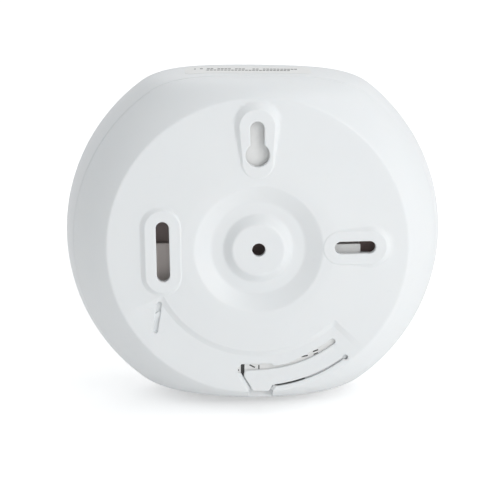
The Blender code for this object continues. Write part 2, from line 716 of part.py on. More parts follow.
# name, finish, centre, segments, (radius, z) profile
TURNED_PARTS = (
    ("light_pipe", CLEAR, PIPE, 16, [
        (0, 47.7), (1.2, 47.6), (1.5, 47.2), (1.5, 45.0), (2.3, 45.0), (2.3, 43.9),
        (1.5, 43.9), (1.5, 31.9), (0, 31.9)]),
    ("indicator_led", CLEAR, PIPE, 16, [
        (0, 31.5), (0.9, 31.3), (1.4, 30.5), (1.4, 29.4), (1.7, 29.4), (1.7, FRONT_MOUNT),
        (0, FRONT_MOUNT)]),
    ("infrared_emitter", CLEAR, (EMITTER_X, 0), 12, [
        (0, OPTICS_Z), (1.4, OPTICS_Z), (1.4, 34.0), (0.8, 34.9), (0, 35.1)]),
    ("insect_mesh", MESH, CHAMBER, 32, [
        (MESH_INNER_R, 30.9), (MESH_OUTER_R, 30.9), (MESH_OUTER_R, 40.4),
        (MESH_INNER_R, 40.4)]),
    ("sounder_housing", BLACK, SOUNDER, 28, [
        (5.0, 39.2), (SOUNDER_R - 1.0, 39.2), (SOUNDER_R, 38.2), (SOUNDER_R, 29.2),
        (SOUNDER_R - 1.3, 29.2), (SOUNDER_R - 1.3, 32.6), (SOUNDER_R - 3.0, 32.6),
        (SOUNDER_R - 3.0, 37.6), (5.0, 37.6)]),
    ("sounder_disc", BRASS, SOUNDER, 32, [
        (0, 31.9), (DISC_R, 31.9), (DISC_R, 32.2), (0, 32.2)]),
    ("sounder_ceramic", CERAMIC, SOUNDER, 28, [
        (0, 31.3), (9.0, 31.3), (9.0, 31.6), (0, 31.6)]),
    ("horn_transformer", CHIP, TRANSFORMER, 20, [
        (0, REAR_MOUNT), (4.6, REAR_MOUNT), (4.6, 25.2), (3.4, 25.2), (3.4, 19.4),
        (4.6, 19.4), (4.6, 18.2), (0, 18.2)]),
    ("transformer_winding", COPPER, TRANSFORMER, 20, [
        (3.65, 19.7), (4.4, 19.7), (4.4, 24.9), (3.65, 24.9)]),
    ("storage_capacitor", CAN, CAPACITOR, 20, [
        (0, REAR_MOUNT), (3.9, REAR_MOUNT), (4.0, 25.8), (4.0, 15.0), (3.6, 14.4),
        (0, 14.4)]),
)
# name, finish, (x0, x1, y0, y1, z0, z1)
BOX_PARTS = (
    ("alarm_chip", CHIP, (-8, 2, -32, -25, FRONT_MOUNT, 30.1)),
    ("photodiode", CHIP, (RECEIVER_X - 1.4, RECEIVER_X + 1.4, -2.0, 2.0, OPTICS_Z, 33.6)),
    ("cell_tab_negative", STEEL, (-17.4, -17.0, *TAB_Y, 13.5, REAR_MOUNT)),
    ("cell_tab_positive", STEEL, (17.0, 17.4, *TAB_Y, 13.5, REAR_MOUNT)),
    ("microcontroller", CHIP, (-4, 4, 10, 18, 24.9, REAR_MOUNT)),
)

# ------------------------------------------------------------------- assembly
build_mounting_base()
build_latch_arm()
build_rear_housing()
build_rating_label()
build_power_slider()
build_front_cover()
build_date_label()
build_test_button()
build_button_spring()
build_circuit_board()
build_all_screws()
build_tact_switch()
build_chamber()
build_sounder_springs()
build_lithium_cell()
build_service_header()
for name, finish, centre, segments, profile in TURNED_PARTS:
    simple_piece(name, turned(profile, centre, segments), finish)
for name, finish, extents in BOX_PARTS:
    simple_piece(name, box(*extents), finish)
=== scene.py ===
"""A smoke alarm seen from its wall side: fine skins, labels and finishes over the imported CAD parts,
in a plain white studio.

Outlines are drawn in the mounting frame, in millimetres: x to the right as seen from the room,
y up, and depth from the wall into the room. In the world the room lies towards -Y and up is +Z.
Right in names and comments means +x. Angles are degrees anticlockwise from +x, seen from the room.
"""

import json
import math

import bpy
import numpy as np
from mathutils import Matrix, Vector
from mathutils.geometry import delaunay_2d_cdt
from mathutils.kdtree import KDTree

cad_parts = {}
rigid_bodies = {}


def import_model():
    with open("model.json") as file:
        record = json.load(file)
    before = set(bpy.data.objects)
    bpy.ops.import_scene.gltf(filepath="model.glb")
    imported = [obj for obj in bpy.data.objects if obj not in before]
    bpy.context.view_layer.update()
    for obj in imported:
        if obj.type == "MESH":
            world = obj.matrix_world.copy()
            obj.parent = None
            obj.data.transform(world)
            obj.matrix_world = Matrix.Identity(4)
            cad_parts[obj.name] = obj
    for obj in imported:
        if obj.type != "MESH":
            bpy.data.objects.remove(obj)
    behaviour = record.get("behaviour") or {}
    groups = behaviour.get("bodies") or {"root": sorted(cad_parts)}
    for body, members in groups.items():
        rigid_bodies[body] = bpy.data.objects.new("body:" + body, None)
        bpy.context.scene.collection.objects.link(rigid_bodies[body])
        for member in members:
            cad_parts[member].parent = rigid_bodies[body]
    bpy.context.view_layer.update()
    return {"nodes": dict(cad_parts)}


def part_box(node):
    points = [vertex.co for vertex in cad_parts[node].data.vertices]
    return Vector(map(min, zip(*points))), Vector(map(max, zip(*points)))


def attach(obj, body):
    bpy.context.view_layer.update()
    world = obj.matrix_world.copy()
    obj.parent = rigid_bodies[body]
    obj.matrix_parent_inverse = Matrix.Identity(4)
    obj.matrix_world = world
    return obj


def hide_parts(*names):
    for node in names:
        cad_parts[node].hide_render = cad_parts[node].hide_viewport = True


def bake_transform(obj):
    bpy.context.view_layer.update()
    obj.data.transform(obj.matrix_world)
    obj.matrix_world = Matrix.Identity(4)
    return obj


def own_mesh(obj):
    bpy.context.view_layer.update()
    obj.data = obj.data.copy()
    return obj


for item in list(bpy.data.objects):
    bpy.data.objects.remove(item, do_unlink=True)
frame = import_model()
MM = 0.001
WALL_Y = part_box("mounting_base")[1].y / MM  # the wall plane, from the base's own box

# ------------------------------------------------------------------ body dimensions
BODY_R, WIDEST_DEPTH = 57.6, 28.0
REAR_SWEEP, REAR_LENGTH, FRONT_ROUND = 41.5, 36.0, 14.0
# the flats that cut the top and the foot of the round body, a little turned against the base
FLAT_HEIGHT, FLAT_BLEND = 48.4, 5.7
FLAT_DRAFT, FLAT_TURN = math.radians(5.5), math.radians(1.45)
SEAM_BASE, SEAM_COVER = 14.7, 15.0
SEAM_ROUND = 0.28
WALL = 2.0  # wall thickness beside the seam
COLUMNS = 720  # points round every large turned skin
EDGE = 0.32  # rounding of the edges of the base's openings
EDGE_OFFSETS = (0.04, 0.1, 0.18, 0.27, 0.4)  # where mesh points follow such an edge


def body_radius(depth):
    depth = np.asarray(depth, float)
    t = np.clip((WIDEST_DEPTH - depth) / REAR_LENGTH, 0, 1)
    rear = BODY_R - REAR_SWEEP * (1 - np.sqrt(1 - t * t))
    t = np.clip((depth - WIDEST_DEPTH) / FRONT_ROUND, 0, 1)
    front = BODY_R - FRONT_ROUND * (1 - np.sqrt(1 - t * t))
    return np.where(depth <= WIDEST_DEPTH, rear, front)


def flat_height(depth):
    """Distance of the flats from the axis."""
    depth = np.asarray(depth, float)
    rise = FLAT_HEIGHT + (np.minimum(depth, WIDEST_DEPTH) - 5.0) * math.tan(FLAT_DRAFT)
    return rise - np.maximum(depth - WIDEST_DEPTH, 0) * 0.03


def cut_radius(radius, depth, angle, inset=0.0):
    """The radius at an angle in radians, pulled in softly where the flats cut it."""
    upright = np.maximum(np.abs(np.sin(angle - FLAT_TURN)), 1e-6)
    limit = (flat_height(depth) - inset) / upright
    overlap = np.maximum(FLAT_BLEND - np.abs(radius - limit), 0.0) / FLAT_BLEND
    return np.minimum(radius, limit) - overlap * overlap * FLAT_BLEND / 4


# ------------------------------------------------------------------ vectors and curves
def unit_rows(vectors, tiny=1e-12):
    return vectors / np.maximum(np.linalg.norm(vectors, axis=-1, keepdims=True), tiny)


def polar(radius, angle):
    angle = math.radians(angle)
    return np.array([radius * math.cos(angle), radius * math.sin(angle)])


def tangent(angle):
    """Unit vector across the spoke at an angle, anticlockwise."""
    return np.array([-math.sin(math.radians(angle)), math.cos(math.radians(angle))])


def bearing(vector):
    return math.atan2(vector[1], vector[0])


def smoothstep(t):
    t = np.clip(t, 0, 1)
    return t * t * (3 - 2 * t)


def soft_min(a, b, width):
    overlap = np.maximum(width - np.abs(a - b), 0) / width
    return np.minimum(a, b) - overlap * overlap * width / 4


def ramp(x, width):
    """max(x, 0) with a rounded foot."""
    return 0.5 * (x + np.sqrt(x * x + width * width)) - width / 2 * np.exp(-np.abs(x) / width)


def fillet(distance, radius):
    """Drop of a rounded edge at a distance from the outline."""
    x = np.clip(radius - distance, 0, radius * 0.9995)
    return radius - np.sqrt(radius * radius - x * x)


def quarter_round(angle, radius):
    """Sideways and lengthways setback of a point on a rounded rim; 0 degrees is at its side."""
    angle = math.radians(angle)
    return radius * (1 - math.cos(angle)), radius * (1 - math.sin(angle))


def gauss_kernel(half, step, sigma):
    weights = np.exp(-0.5 * (np.arange(-half, half + 1) * step / sigma) ** 2)
    return weights / weights.sum()


def smoothed(points, sigma, step=0.02):
    """A table of a polyline's value over its first coordinate, with its corners rounded."""
    known = np.array(points, float)
    x = np.arange(known[0, 0] - 4 * sigma, known[-1, 0] + 4 * sigma, step)
    y = np.interp(x, known[:, 0], known[:, 1])
    # carry the end slopes on, so that the ends are not pulled level
    for end, beside, beyond in ((0, 1, x < known[0, 0]), (-1, -2, x > known[-1, 0])):
        run, rise = known[end] - known[beside]
        y = np.where(beyond, known[end, 1] + (x - known[end, 0]) * (rise / run), y)
    half = int(4 * sigma / step)
    kernel = gauss_kernel(half, step, sigma)
    return x, np.convolve(np.pad(y, half, mode="edge"), kernel, mode="valid")


def rounded_path(points, radii, step=0.25):
    """A polyline with each inner corner replaced by an arc; one radius for each inner corner."""
    points = [np.array(point, float) for point in points]
    path = [points[0]]
    for before, corner, after, radius in zip(points, points[1:], points[2:], radii):
        length_in, length_out = np.linalg.norm(before - corner), np.linalg.norm(after - corner)
        back, ahead = (before - corner) / length_in, (after - corner) / length_out
        turn = math.acos(float(back @ ahead))
        reach = min(radius / math.tan(turn / 2), 0.49 * length_in, 0.49 * length_out)
        radius = reach * math.tan(turn / 2)
        middle = (back + ahead) / np.linalg.norm(back + ahead)
        centre = corner + middle * (radius / math.sin(turn / 2))
        start = bearing(corner + back * reach - centre)
        end = bearing(corner + ahead * reach - centre)
        sweep = (end - start + math.pi) % (2 * math.pi) - math.pi
        count = max(2, int(abs(sweep) * radius / step) + 1, int(abs(sweep) / math.radians(18)))
        for k in range(count + 1):
            angle = start + sweep * k / count
            path.append(centre + radius * np.array([math.cos(angle), math.sin(angle)]))
    path.append(points[-1])
    return np.array(path)


def rounded_loop(points, radius, step=0.25):
    """A closed outline with all its corners rounded alike."""
    points = list(points)
    seam = (np.array(points[0], float) + np.array(points[-1], float)) / 2
    return rounded_path([seam] + points + [seam], [radius] * len(points), step)[:-1]


def distinct(path, gap):
    """A path without the points that fall on the one before."""
    return path[np.r_[True, np.linalg.norm(np.diff(path, axis=0), axis=1) > gap]]


def resample(path, step, closed):
    """Even spacing along a path, which keeps its corners only as nearly as the spacing does."""
    path = np.vstack([path, path[:1]]) if closed else np.asarray(path)
    length = np.r_[0, np.cumsum(np.linalg.norm(np.diff(path, axis=0), axis=1))]
    count = max(3, int(round(length[-1] / step)))
    at = np.linspace(0, length[-1], count + 1)
    even = np.c_[np.interp(at, length, path[:, 0]), np.interp(at, length, path[:, 1])]
    return even[:-1] if closed else even


def densify(path, step, closed=False):
    """Extra points along long segments; every given point stays."""
    path = np.vstack([path, path[:1]]) if closed else np.asarray(path)
    dense = []
    for start, end in zip(path[:-1], path[1:]):
        count = max(1, int(math.ceil(np.linalg.norm(end - start) / step)))
        dense += [start + (end - start) * k / count for k in range(count)]
    if not closed:
        dense.append(path[-1])
    return np.array(dense)


def arc(radius, start, end, step=0.4, centre=(0, 0)):
    count = max(2, int(abs(math.radians(end - start)) * radius / step))
    angle = np.radians(np.linspace(start, end, count + 1))
    return np.c_[centre[0] + radius * np.cos(angle), centre[1] + radius * np.sin(angle)]


def circle(radius, step, centre=(0, 0)):
    return arc(radius, 0, 360, step, centre)[:-1]


def stadium(start, end, start_radius, end_radius, step):
    """Outline of a round-ended slot, which may taper."""
    run, rise = end[0] - start[0], end[1] - start[1]
    along = math.atan2(rise, run)
    lean = math.acos((start_radius - end_radius) / math.hypot(run, rise))
    from_angle, to_angle = math.degrees(along + lean), math.degrees(along - lean)
    start_cap = arc(start_radius, from_angle, math.degrees(along + 2 * math.pi - lean), step, start)
    end_cap = arc(end_radius, to_angle, from_angle, step, end)
    return densify(np.vstack([start_cap, end_cap]), step, closed=True)


def sector_outline(inner, outer, start, end, count=8):
    """A sector of a ring, anticlockwise."""
    angle = np.radians(np.linspace(start, end, count + 1))
    spokes = np.c_[np.cos(angle), np.sin(angle)]
    return np.vstack([outer * spokes, inner * spokes[::-1]])


def hex_grid(x0, x1, y0, y1, step):
    rows = []
    y, odd = y0, 0
    while y <= y1:
        x = np.arange(x0 + (step / 2 if odd else 0), x1, step)
        rows.append(np.c_[x, np.full(len(x), y)])
        y += step * 0.866
        odd ^= 1
    return np.vstack(rows)


def offset_rings(path, offsets, step, closed=True):
    """Copies of an outline moved sideways by each offset (to its right for positive)."""
    path = resample(path, step, closed)
    if closed:
        along = np.roll(path, -1, 0) - np.roll(path, 1, 0)
    else:
        along = np.gradient(path, axis=0)
    along = unit_rows(along)
    right = np.c_[along[:, 1], -along[:, 0]]
    return np.vstack([path + right * offset for offset in offsets])


# ------------------------------------------------------------------ distances and regions
def segment_distance(points, path, closed=True):
    """Distance of each point to a polyline."""
    path = np.vstack([path, path[:1]]) if closed else np.asarray(path)
    start = path[:-1]
    run = path[1:] - start
    squared = np.maximum((run * run).sum(1), 1e-12)
    best = np.full(len(points), 1e9)
    chunk = 4000  # keeps the table of all pairs small
    for i in range(0, len(points), chunk):
        part = points[i : i + chunk, None, :]
        t = np.clip(((part - start) * run).sum(2) / squared, 0, 1)
        near = start + t[..., None] * run
        best[i : i + chunk] = np.sqrt(((part - near) ** 2).sum(2).min(1))
    return best


def edge_distance(points, loops, lines=()):
    """Distance to the nearest of some closed loops and open lines, at most 9."""
    distance = np.full(len(points), 9.0)
    for paths, closed in ((loops, True), (lines, False)):
        for path in paths:
            distance = np.minimum(distance, segment_distance(points, path, closed))
    return distance


def off_edges(points, loops, lines=()):
    """The points that lie clear of every edge."""
    return points[edge_distance(points, loops, lines) > 0.03]


def inside(points, path):
    """Whether each point lies within a closed outline."""
    x, y = points[:, 0], points[:, 1]
    hit = np.zeros(len(points), bool)
    closed = np.vstack([path, path[:1]])
    for (x0, y0), (x1, y1) in zip(closed[:-1], closed[1:]):
        if y0 == y1:
            continue
        crosses = (y0 > y) != (y1 > y)
        hit ^= crosses & (x < (x1 - x0) * (y - y0) / (y1 - y0) + x0)
    return hit


def outside_all(points, holes):
    clear = np.ones(len(points), bool)
    for hole in holes:
        clear &= ~inside(points, hole)
    return clear


def capsule_distance(points, start, end, start_radius, end_radius):
    """Signed distance to a tapered stadium, near enough for small tapers."""
    start = np.array(start, float)
    run = np.array(end, float) - start
    t = np.clip(((points - start) @ run) / (run @ run), 0, 1)
    radius = start_radius + (end_radius - start_radius) * t
    return np.linalg.norm(points - (start + t[:, None] * run), axis=1) - radius


def sheet(loops, clouds, test=None):
    """Triangulates the region within the first loop and outside the others.

    clouds: pairs of inner points and how far they keep clear of all the points before them.
    test(points), where given, says instead which points are in the region.
    Returns the points, anticlockwise triangles and, for each loop, the numbers of its points.
    """
    if test is None:

        def test(points):
            return inside(points, loops[0]) & outside_all(points, loops[1:])

    points, edges, spans = [], [], []
    for loop in loops:
        start, count = len(points), len(loop)
        points += [tuple(point) for point in loop]
        edges += [(start + i, start + (i + 1) % count) for i in range(count)]
        spans.append(range(start, start + count))
    for cloud, clearance in clouds:
        tree = KDTree(len(points))
        for i, (x, y) in enumerate(points):
            tree.insert((x, y, 0), i)
        tree.balance()
        for x, y in cloud[test(cloud)]:
            if tree.find((x, y, 0))[2] >= clearance:
                points.append((float(x), float(y)))
    result = delaunay_2d_cdt([Vector(point) for point in points], edges, [], 0, 1e-5, True)
    flat = np.array([[point.x, point.y] for point in result[0]])
    triangles = np.array([list(t) for t in result[2] if len(t) == 3])
    triangles = triangles[test(flat[triangles].mean(1))]
    a, b, c = flat[triangles[:, 0]], flat[triangles[:, 1]], flat[triangles[:, 2]]
    area = (b[:, 0] - a[:, 0]) * (c[:, 1] - a[:, 1]) - (b[:, 1] - a[:, 1]) * (c[:, 0] - a[:, 0])
    triangles[area < 0] = triangles[area < 0][:, ::-1]
    triangles = triangles[np.abs(area) > 1e-7]
    renumbered = {old: new for new, olds in enumerate(result[3]) for old in olds}
    return flat, triangles, [[renumbered[i] for i in span] for span in spans]


# ------------------------------------------------------------------ faces and solids
def as_faces(triangles):
    return [tuple(triangle) for triangle in triangles.tolist()]


def open_edges(faces):
    """Edges with a face on one side only, in the order the faces meet them."""
    edges = dict.fromkeys(edge for face in faces for edge in zip(face, face[1:] + face[:1]))
    return [(a, b) for a, b in edges if (b, a) not in edges]


def mate_walls(faces, mate):
    """Quads that join every open edge whose two points have mates on the other skin."""
    edges = sorted(open_edges(faces))
    return [(b, a, mate[a], mate[b]) for a, b in edges if a in mate and b in mate]


def slab_faces(triangles, count):
    """Faces of a closed slab: a skin towards the wall, its mate `count` points on, and walls."""
    skin = as_faces(triangles[:, ::-1])
    walls = mate_walls(skin, {i: i + count for i in range(count)})
    return skin + as_faces(triangles + count) + walls


def joined(parts):
    """Several (points, faces) pairs as one."""
    verts, faces = np.zeros((0, 3)), []
    for part_verts, part_faces in parts:
        faces += [tuple(i + len(verts) for i in face) for face in part_faces]
        verts = np.vstack([verts, part_verts])
    return verts, faces


def layer_faces(count, layers):
    """Quads between stacked copies of an anticlockwise outline, after a cap at either end."""
    faces = [tuple(range(count - 1, -1, -1)), tuple(range((layers - 1) * count, layers * count))]
    for k in range(layers - 1):
        low, high = k * count, (k + 1) * count
        for i in range(count):
            j = (i + 1) % count
            faces.append((low + i, low + j, high + j, high + i))
    return faces


def prism(outline, low, high):
    """A closed prism as (points, faces). The outline runs anticlockwise."""
    outline = np.asarray(outline, float)
    count = len(outline)
    layers = [np.c_[outline, np.full(count, depth)] for depth in (low, high)]
    return np.vstack(layers), layer_faces(count, 2)


def round_prism(outline, low, high, edge):
    """A closed prism with softened rims, as (points, faces). The outline runs anticlockwise."""
    count = len(outline)
    along = unit_rows(np.roll(outline, -1, 0) - np.roll(outline, 1, 0))
    inward = np.c_[-along[:, 1], along[:, 0]]
    layers = []
    for rim, into, angles in ((low, 1, (90, 60, 30, 0)), (high, -1, (0, 30, 60, 90))):
        for angle in angles:
            aside, setback = quarter_round(angle, edge)
            layers.append(np.c_[outline + inward * aside, np.full(count, rim + into * setback)])
    return np.vstack(layers), layer_faces(count, 8)


def turned(path, columns):
    """A solid of revolution as (points, faces), from (radius, depth) points that start and end
    on the axis."""
    angle = np.arange(columns) * 2 * math.pi / columns
    verts, faces, rows = [], [], []
    for radius, depth in path:
        if radius < 1e-6:
            rows.append([len(verts)] * columns)
            verts.append((0.0, 0.0, depth))
        else:
            rows.append([len(verts) + i for i in range(columns)])
            verts += [(radius * math.cos(t), radius * math.sin(t), depth) for t in angle]
    for row, following in zip(rows[:-1], rows[1:]):
        for i in range(columns):
            j = (i + 1) % columns
            quad = [row[i], following[i], following[j], row[j]]
            face = tuple(corner for k, corner in enumerate(quad) if corner != quad[k - 1])
            if len(face) > 2:
                faces.append(face)
    return np.array(verts), faces


# ------------------------------------------------------------------ normals
def sheet_normals(height, points, eps=0.03):
    """Normals towards the wall of a sheet whose depth is height(points)."""
    slopes = []
    for shift in (np.array([[eps, 0]]), np.array([[0, eps]])):
        slopes.append((height(points + shift) - height(points - shift)) / (2 * eps))
    return unit_rows(np.c_[slopes[0], slopes[1], -np.ones(len(points))])


def grid_normals(grid):
    """Outward normals of a closed skirt of points [row][column]."""
    across = np.roll(grid, -1, 1) - np.roll(grid, 1, 1)
    return unit_rows(np.cross(across, np.gradient(grid, axis=0)))


def joined_normals(verts, faces, limit):
    """Corner normals of some faces, joined among themselves up to an angle."""
    a, b, c = (verts[[face[i] for face in faces]] for i in (0, 1, 2))
    face_normals = np.cross(b - a, c - a)
    for i, face in enumerate(faces):
        # a quad with a doubled corner takes its other three
        if len(face) > 3 and face_normals[i] @ face_normals[i] < 1e-16:
            p, q, r = verts[face[0]], verts[face[2]], verts[face[3]]
            face_normals[i] = np.cross(q - p, r - p)
    corners = np.concatenate(faces) if len({len(f) for f in faces}) == 1 else np.hstack(faces)
    own = np.repeat(face_normals, [len(face) for face in faces], axis=0)
    total = np.zeros((len(verts), 3))
    np.add.at(total, corners, own)
    own = unit_rows(own)
    mean = unit_rows(total[corners])
    apart = (own * mean).sum(1) < math.cos(math.radians(limit))
    mean[apart] = own[apart]
    return mean


def weighted_normals(verts, faces, limit):
    """World normals of the corners: the faces round each point weighted by area, without those
    that turn away past the limit."""
    world = to_world(verts) / MM
    counts = np.array([len(face) for face in faces])
    corners = np.concatenate(faces)
    owner = np.repeat(np.arange(len(faces)), counts)
    first = np.r_[0, np.cumsum(counts)[:-1]]
    following = np.arange(len(corners)) + 1
    following[first + counts - 1] = first
    # Newell's sum is twice the area times the normal
    area = np.zeros((len(faces), 3))
    np.add.at(area, owner, np.cross(world[corners], world[corners[following]]))
    unit = unit_rows(area, 1e-15)
    # pair every corner with all the faces that share its point
    order = np.argsort(corners, kind="stable")
    by_point = corners[order]
    starts = np.searchsorted(by_point, np.arange(len(verts)))
    ends = np.searchsorted(by_point, np.arange(len(verts)), side="right")
    sharing = (ends - starts)[corners]
    corner = np.repeat(np.arange(len(corners)), sharing)
    before = np.repeat(np.r_[0, np.cumsum(sharing)[:-1]], sharing)
    offset = np.arange(int(sharing.sum())) - before
    other = owner[order[starts[corners[corner]] + offset]]
    cosine = (unit[owner[corner]] * unit[other]).sum(1)
    keep = cosine > math.cos(math.radians(limit))
    total = np.zeros((len(corners), 3))
    np.add.at(total, corner[keep], area[other[keep]])
    known = np.linalg.norm(total, axis=1, keepdims=True) > 1e-12
    return np.where(known, unit_rows(total, 1e-15), unit[owner])


# ------------------------------------------------------------------ mesh objects
def to_world(points):
    points = np.asarray(points, float)
    return np.stack([points[:, 0], WALL_Y - points[:, 2], points[:, 1]], 1) * MM


def directions_to_world(vectors):
    return np.stack([vectors[:, 0], -vectors[:, 2], vectors[:, 1]], 1)


def compact(verts, faces):
    """The points that faces use, and the faces renumbered to match."""
    used = np.zeros(len(verts), bool)
    for face in faces:
        used[list(face)] = True
    renumbered = (np.cumsum(used) - 1).tolist()
    return verts[used], [tuple(renumbered[i] for i in face) for face in faces]


def mesh_object(name, verts, faces, material, corner_normals, sharp):
    mesh = bpy.data.meshes.new(name)
    mesh.from_pydata(to_world(verts).tolist(), [], [list(face) for face in faces])
    mesh.validate(verbose=False)
    mesh.update()
    mesh.shade_smooth()
    mesh.set_sharp_from_angle(angle=math.radians(sharp))
    mesh.normals_split_custom_set(corner_normals.tolist())
    obj = bpy.data.objects.new(name, mesh)
    bpy.context.scene.collection.objects.link(obj)
    mesh.materials.append(material)
    return obj


def shell(name, outer, inner, faces, normals, material, islands):
    """A closed thin-walled piece: an outer skin, its inner mate, walls along every open edge, and
    separate solids. normals belong to the points of the outer skin."""
    count = len(outer)
    walls = [(b, a, a + count, b + count) for a, b in open_edges(faces)]
    back = [tuple(i + count for i in reversed(face)) for face in faces]
    solid_verts, solid_faces = joined(islands)
    verts = np.vstack([outer, inner, solid_verts])
    solids = [tuple(i + 2 * count for i in face) for face in solid_faces]
    groups = ((back, 60.0), (walls, 32.0), (solids, 20.0))
    rest = np.vstack([joined_normals(verts, group, limit) for group, limit in groups])
    corner_normals = directions_to_world(np.vstack([normals[np.concatenate(faces)], rest]))
    verts, all_faces = compact(verts, faces + back + walls + solids)
    return mesh_object(name, verts, all_faces, material, corner_normals, sharp=32)


def closed_piece(name, verts, faces, material, limit=42.0):
    """A finished closed mesh with smooth, area-weighted corners."""
    verts, faces = compact(np.asarray(verts, float), faces)
    normals = weighted_normals(verts, faces, limit)
    return mesh_object(name, verts, faces, material, normals, sharp=limit)


# ------------------------------------------------------------------ shader helpers
def feed(tree, node, inputs):
    """Links each input that is given a socket and sets the others."""
    for key, value in inputs.items():
        if isinstance(value, bpy.types.NodeSocket):
            tree.links.new(value, node.inputs[key])
        else:
            node.inputs[key].default_value = value


def add_node(tree, kind, inputs, **settings):
    node = tree.nodes.new("ShaderNode" + kind)
    for key, value in settings.items():
        setattr(node, key, value)
    feed(tree, node, inputs)
    return node


def new_material(name):
    """A material, its tree, its shader and the object coordinates."""
    material = bpy.data.materials.new(name)
    material.use_nodes = True
    tree = material.node_tree
    place = tree.nodes.new("ShaderNodeTexCoord").outputs["Object"]
    return material, tree, tree.nodes["Principled BSDF"], place


def noise(tree, place, scale, detail=3.0, roughness=0.55):
    inputs = {"Vector": place, "Scale": scale, "Detail": detail, "Roughness": roughness}
    return add_node(tree, "TexNoise", inputs).outputs["Fac"]


def spread(tree, value, low, high, from_min=0.3, from_max=0.7):
    """A value mapped from its own range, by default that of a noise, to low..high."""
    inputs = {"Value": value, "From Min": from_min, "From Max": from_max}
    inputs |= {"To Min": low, "To Max": high}
    return add_node(tree, "MapRange", inputs).outputs["Result"]


def shade(colour, factor):
    return tuple(factor * channel for channel in colour)


def mix_colour(tree, factor, first, second):
    first, second = ((*c, 1.0) if isinstance(c, tuple) else c for c in (first, second))
    return add_node(tree, "Mix", {0: factor, 6: first, 7: second}, data_type="RGBA").outputs[2]


def maths(tree, operation, *values):
    return add_node(tree, "Math", dict(enumerate(values)), operation=operation).outputs[0]


def bump(tree, height, strength, distance, normal=None):
    inputs = {"Strength": strength, "Distance": distance, "Height": height}
    if normal is not None:
        inputs["Normal"] = normal
    return add_node(tree, "Bump", inputs).outputs["Normal"]


# ------------------------------------------------------------------ materials
def moulded_plastic(name, light, dark, roughness, grain=1500.0, grain_depth=2e-5, subsurface=0.0):
    """Fine spark-eroded grain, slow waves from moulding, small changes of tone and gloss."""
    material, tree, shader, place = new_material(name)
    broad = noise(tree, place, 28.0)
    fine = noise(tree, place, grain, 2.0, 0.6)
    specks = noise(tree, place, 420.0, 4.0, 0.65)
    tone = mix_colour(tree, spread(tree, broad, 0.0, 1.0), dark, light)
    soiling = spread(tree, specks, 0.0, 0.35, from_min=0.62, from_max=0.80)
    gloss_specks = spread(tree, specks, -0.05, 0.05)
    gloss_waves = spread(tree, broad, roughness - 0.04, roughness + 0.04)
    waves = bump(tree, broad, strength=0.25, distance=0.0002)
    feed(tree, shader, {
        "Base Color": mix_colour(tree, soiling, tone, shade(dark, 0.93)),
        "Roughness": maths(tree, "ADD", gloss_specks, gloss_waves),
        "Normal": bump(tree, fine, strength=0.5, distance=grain_depth, normal=waves),
        "IOR": 1.5,
    })
    if subsurface:
        feed(tree, shader, {
            "Subsurface Weight": subsurface,
            "Subsurface Radius": (1.0, 0.8, 0.7),
            "Subsurface Scale": 0.0012,
        })
    return material


def printed_label(name, paper, ink, across_axis, band, row_pitch, word_pitch, fill=0.55,
                  shift=0.0, span=(0.0, 1.0, 0.0), row_height=0.2, marks=()):
    """Label film with plain dashes in rows, standing in for print. All lengths are in metres,
    but those of marks in millimetres.

    Rows run along x. across_axis: 1 or 2, the axis across the rows. band: where they lie on it.
    fill: share of dashes printed. row_height: half of a row's height, as a share of its pitch.
    span: middle, half length of row 0, and how much shorter each further row is at either end.
    marks: single bars, as (x, across, half length, half width, degrees).
    """
    material, tree, shader, place = new_material(name)
    split = add_node(tree, "SeparateXYZ", {0: place})
    along, across = split.outputs[0], split.outputs[across_axis]
    row_shift = 1.781  # in words, from one row to the next

    def calc(operation, *values):
        return maths(tree, operation, *values)

    rows = calc("DIVIDE", calc("ADD", across, shift), row_pitch)
    row = calc("FLOOR", rows)
    in_row = calc("COMPARE", calc("FRACT", rows), 0.5, row_height)
    words = calc("ADD", calc("DIVIDE", along, word_pitch), calc("MULTIPLY", row, row_shift))
    cell = add_node(tree, "CombineXYZ", {0: calc("FLOOR", words), 1: row}).outputs[0]
    chance = add_node(tree, "TexWhiteNoise", {"Vector": cell}, noise_dimensions="2D")
    printed = calc("LESS_THAN", chance.outputs["Value"], fill)
    dash = calc("COMPARE", calc("FRACT", words), 0.5, 0.40)
    above, below = calc("GREATER_THAN", across, band[0]), calc("LESS_THAN", across, band[1])
    middle, reach, shorter = span
    half_row = calc("SUBTRACT", reach, calc("MULTIPLY", row, shorter))
    off_middle = calc("ABSOLUTE", calc("SUBTRACT", along, middle))
    within = calc("MULTIPLY", calc("MULTIPLY", above, below),
                  calc("LESS_THAN", off_middle, half_row))
    inked = calc("MULTIPLY", calc("MULTIPLY", in_row, dash), calc("MULTIPLY", printed, within))
    for x, y, half_length, half_width, angle in marks:
        cosine, sine = math.cos(math.radians(angle)), math.sin(math.radians(angle))
        from_x, from_y = calc("SUBTRACT", along, x * MM), calc("SUBTRACT", across, y * MM)
        length = calc("ADD", calc("MULTIPLY", from_x, cosine), calc("MULTIPLY", from_y, sine))
        width = calc("SUBTRACT", calc("MULTIPLY", from_y, cosine), calc("MULTIPLY", from_x, sine))
        bar = calc("MULTIPLY", calc("COMPARE", length, 0.0, half_length * MM),
                   calc("COMPARE", width, 0.0, half_width * MM))
        inked = calc("MAXIMUM", inked, bar)
    fibre = noise(tree, place, 900.0, 4.0, 0.6)
    film = mix_colour(tree, spread(tree, fibre, 0.0, 1.0), shade(paper, 0.96), paper)
    feed(tree, shader, {
        "Base Color": mix_colour(tree, calc("MULTIPLY", inked, 0.985), film, ink),
        "Roughness": spread(tree, fibre, 0.42, 0.58),
        "Normal": bump(tree, fibre, strength=0.25, distance=0.00002),
        "Coat Weight": 0.25,
        "Coat Roughness": 0.3,
    })
    return material


